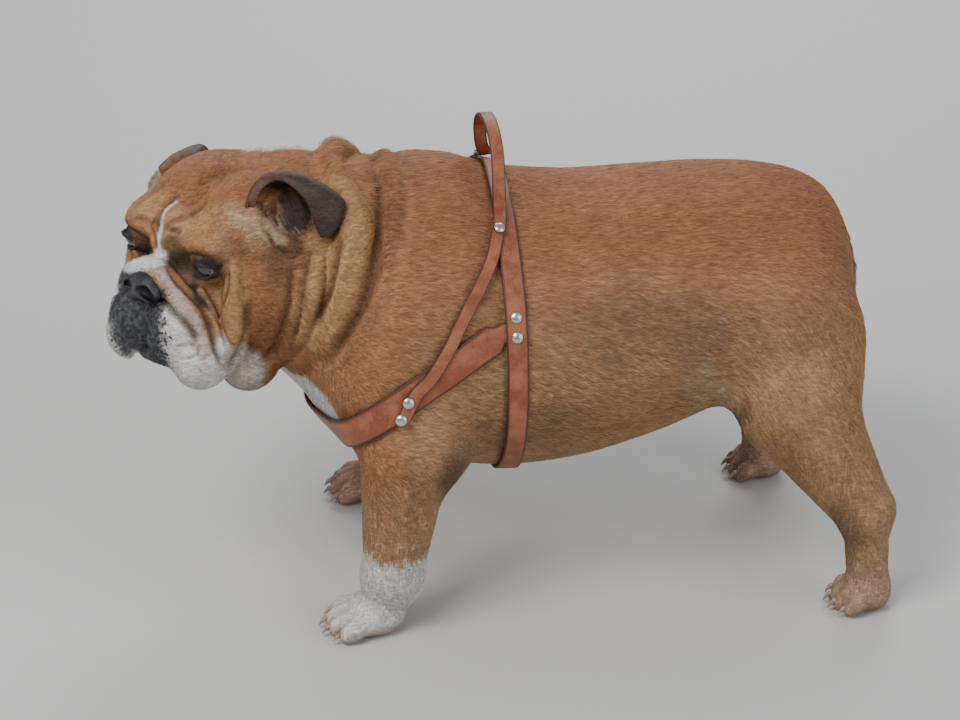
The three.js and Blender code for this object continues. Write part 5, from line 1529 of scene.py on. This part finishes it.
def scattered(points, faces, closeness, count, rng):
    """Random roots on a mesh: the face each lies on and its weights for the face's corners."""
    corners = points[faces]
    area = np.linalg.norm(np.cross(corners[:, 1] - corners[:, 0], corners[:, 2] - corners[:, 0]), axis=1)
    summed = np.cumsum(area * closeness(corners.mean(1)))
    face = np.searchsorted(summed, rng.random(count) * summed[-1])
    a, b = np.sqrt(rng.random(count)), rng.random(count)
    return face, np.column_stack([1 - a, a * (1 - b), a * b])


def tufts(name, roots, normals, lie, length, width, tint, freckle, patch, rng):
    """One piece of coat: a three-sided spike at each root, leaning along the lie."""
    count = len(roots)
    flat = unit(lie - normals * np.einsum("ij,ij->i", lie, normals)[:, None])
    beside = np.cross(normals, flat)
    swing = rng.normal(0, HAIR_JITTER, count)[:, None]
    flat = unit(flat + beside * swing)
    beside = np.cross(normals, flat)
    half = (width * rng.uniform(0.7, 1.25, count) / 2)[:, None]
    reach = (length * rng.uniform(0.65, 1.2, count))[:, None]
    rise = COAT_DEPTH * rng.uniform(0.35, 1.15, count)[:, None]
    low = roots - normals * 0.3
    points = np.stack([low - beside * half, low + beside * half, low + normals * half * 1.6 - flat * half,
                       roots + flat * reach + normals * rise], 1)
    points[..., 2] = np.maximum(points[..., 2], SOLE)
    first = np.arange(count)[:, None] * 4
    faces = (first[:, None] + np.array([[0, 1, 3], [1, 2, 3], [2, 0, 3]])).reshape(-1, 3)
    mesh = made_mesh(name, points.reshape(-1, 3), faces)
    shade = rng.normal(1, TUFT_SHADES, count)[:, None]
    tone = tint * np.clip(shade, 0.5, 1.5)
    shades = [tone * share for share in (*FOOT_SHADES, TIP_SHADE)]
    stamp(mesh, "tint", np.clip(np.stack(shades, 1), 0, 1).reshape(-1, 3))
    stamp(mesh, "freckle", np.repeat(freckle, 4))
    facing = unit(normals + 0.25 * flat + 0.3 * beside * rng.normal(0, 1, count)[:, None])
    mesh.normals_split_custom_set_from_vertices(np.repeat(facing, 4, 0))
    corner_uv = patch[:, None] + OFBAKE_PATCH * np.array([[0, 0], [1, 0], [0.5, 1], [0.5, 0.4]])
    layer = mesh.uv_layers.new(name="OFBake")
    layer.data.foreach_set("uv", corner_uv.reshape(-1, 2)[faces.ravel()].astype(np.float32).ravel())
    return mesh


def spread_out(values):
    """Values stretched to run from 0 to 1, less one patch."""
    low, high = values.min(), values.max()
    return (values - low) / (high - low) * (1 - OFBAKE_PATCH)


def unwrap_round(places, axis, middle):
    """An unwrap round an axis: how far along it, and the angle round it."""
    offset = places - middle
    p, q = [k for k in range(3) if k != axis]
    return np.column_stack([spread_out(places[:, axis]), spread_out(np.arctan2(offset[:, p], offset[:, q]))])


rng = np.random.default_rng(TUFT_SEED)
skin_normals = corner_normals(skin_points, skin_triangles)


def hair_closeness(places):
    """How close the tufts stand: closer where they are short, and none under the feet."""
    length = np.maximum(hair_length(places), SHORTEST_SPACED)
    return 7.0 / length * (places[:, 2] > BARE_SOLE)


face, weights = scattered(skin_points, skin_triangles, hair_closeness, TUFT_COUNT, rng)


def at_roots(values):
    """Values of the skin's points, worked out at the roots."""
    return np.einsum("ij,ij...->i...", weights, values[skin_triangles[face]])


roots = at_roots(skin_points)
root_normals = unit(at_roots(skin_normals))
root_tints = at_roots(skin_colour)
root_freckles = at_roots(skin_freckle)
bare = np.zeros(len(roots), bool)
for path, width in zip(strap_paths, (GIRTH_WIDTH, CHEST_WIDTH, THIN_WIDTH, THIN_WIDTH)):
    closed_path = np.vstack([path[::4], path[:1]]) if path is girth_path else path[::4]
    away, _ = distance_to_path(roots, closed_path, width)
    bare |= away < width / 2 - 1.5
head_f, head_l, head_u = in_head(roots).T
bare |= opening(head_f, np.abs(head_l), head_u) < 2.0
bare |= nose_field(roots) < 0.5
kept = ~bare
roots, root_normals = roots[kept], root_normals[kept]
root_tints, root_freckles = root_tints[kept], root_freckles[kept]
head_f, head_l, head_u = head_f[kept], head_l[kept], head_u[kept]
root_lies = lie_of_hair(roots)
root_lengths = hair_length(roots)
x, y, z = roots.T
is_head = head_f + 0.25 * head_u > -55
is_neck = ~is_head & (x < -190) & (z > 165)
is_leg = ~is_head & ~is_neck & (z < 150) & ((np.abs(y) > 62) | (z < 100))
is_trunk = ~is_head & ~is_neck & ~is_leg
trunk_middle = np.array([0, 0, BODY_MIDDLE])
head_middle = head_point([10, 0, -10])
pieces = [
    ("coat_face_near", is_head & (head_l >= 0), 1, head_middle),
    ("coat_face_far", is_head & (head_l < 0), 1, head_middle),
    ("coat_neck", is_neck, 0, np.array([0, NECK_MIDDLE, 275])),
    ("coat_fore_near", is_trunk & (y < 0) & (x < 10), 0, trunk_middle),
    ("coat_fore_far", is_trunk & (y >= 0) & (x < 10), 0, trunk_middle),
    ("coat_rear_near", is_trunk & (y < 0) & (x >= 10), 0, trunk_middle),
    ("coat_rear_far", is_trunk & (y >= 0) & (x >= 10), 0, trunk_middle),
]
for name, place in PAWS.items():
    by_leg = is_leg & ((x < 0) == (place[0] < 0)) & ((y < 0) == (place[1] < 0))
    pieces.append(("coat_" + name.replace("paw", "leg"), by_leg, 2, np.array([place[0] + 15, place[1], 0])))
for name, chosen, axis, middle in pieces:
    where = roots[chosen]
    length = root_lengths[chosen]
    width = THIN_TUFT + TUFT_TAPER * length
    patch = unwrap_round(where, axis, middle)
    mesh = tufts(name, where, root_normals[chosen], root_lies[chosen], length, width,
                 root_tints[chosen], root_freckles[chosen], patch, rng)
    piece = shown(mesh, coat_hair)


# The studio: a plain pale floor, soft light from large lamps and a pale sky, and the camera where the
# photograph was taken.
def lit(name, place, size, power, colour=(1, 1, 1)):
    light = bpy.data.lights.new(name, "AREA")
    light.energy = power
    light.size = size
    light.color = colour
    lamp = bpy.data.objects.new(name, light)
    bpy.context.scene.collection.objects.link(lamp)
    lamp.location = place
    lamp.rotation_mode = "QUATERNION"
    lamp.rotation_quaternion = Vector(place).to_track_quat("Z", "Y")


FLOOR_HALF = 6.0
PALE_GREY = (0.6, 0.6, 0.59)
SKY_LIGHT = (0.82, 0.85, 0.9, 1)
SKY_STRENGTH = 0.42
floor_corners = [(FLOOR_HALF * a, FLOOR_HALF * b, 0) for a, b in ((-1, -1), (1, -1), (1, 1), (-1, 1))]
floor_mesh = bpy.data.meshes.new("floor")
floor_mesh.from_pydata(floor_corners, [], [(0, 1, 2, 3)])
floor_finish = Finish("pale_floor", base_color=PALE_GREY, roughness=0.8)
floor_mesh.materials.append(floor_finish.material)
floor = bpy.data.objects.new("floor", floor_mesh)
bpy.context.scene.collection.objects.link(floor)

lit("key", (-1.4, -1.5, 2.4), 1.6, 72, (1.0, 0.98, 0.95))
lit("fill", (1.9, -1.8, 1.3), 2.2, 26, (0.95, 0.97, 1.0))
lit("rim", (0.4, 2.2, 1.9), 1.8, 40)
world = bpy.data.worlds.new("studio")
bpy.context.scene.world = world
world.use_nodes = True
sky = world.node_tree.nodes["Background"].inputs
sky["Color"].default_value = SKY_LIGHT
sky["Strength"].default_value = SKY_STRENGTH

camera = bpy.data.cameras.new("camera")
camera.sensor_width = 36
camera.lens = FOCAL_PIXELS / PHOTO_SIZE[0] * camera.sensor_width
camera.clip_end = 50
viewpoint = bpy.data.objects.new("camera", camera)
bpy.context.scene.collection.objects.link(viewpoint)
camera_place = (VIEW_TARGET + SHIFT + VIEW_DISTANCE * TO_CAMERA) / 1000
turned = Matrix((TO_RIGHT, TO_TOP, TO_CAMERA)).transposed().to_4x4()
viewpoint.matrix_world = Matrix.Translation(Vector(camera_place)) @ turned
bpy.context.scene.camera = viewpoint
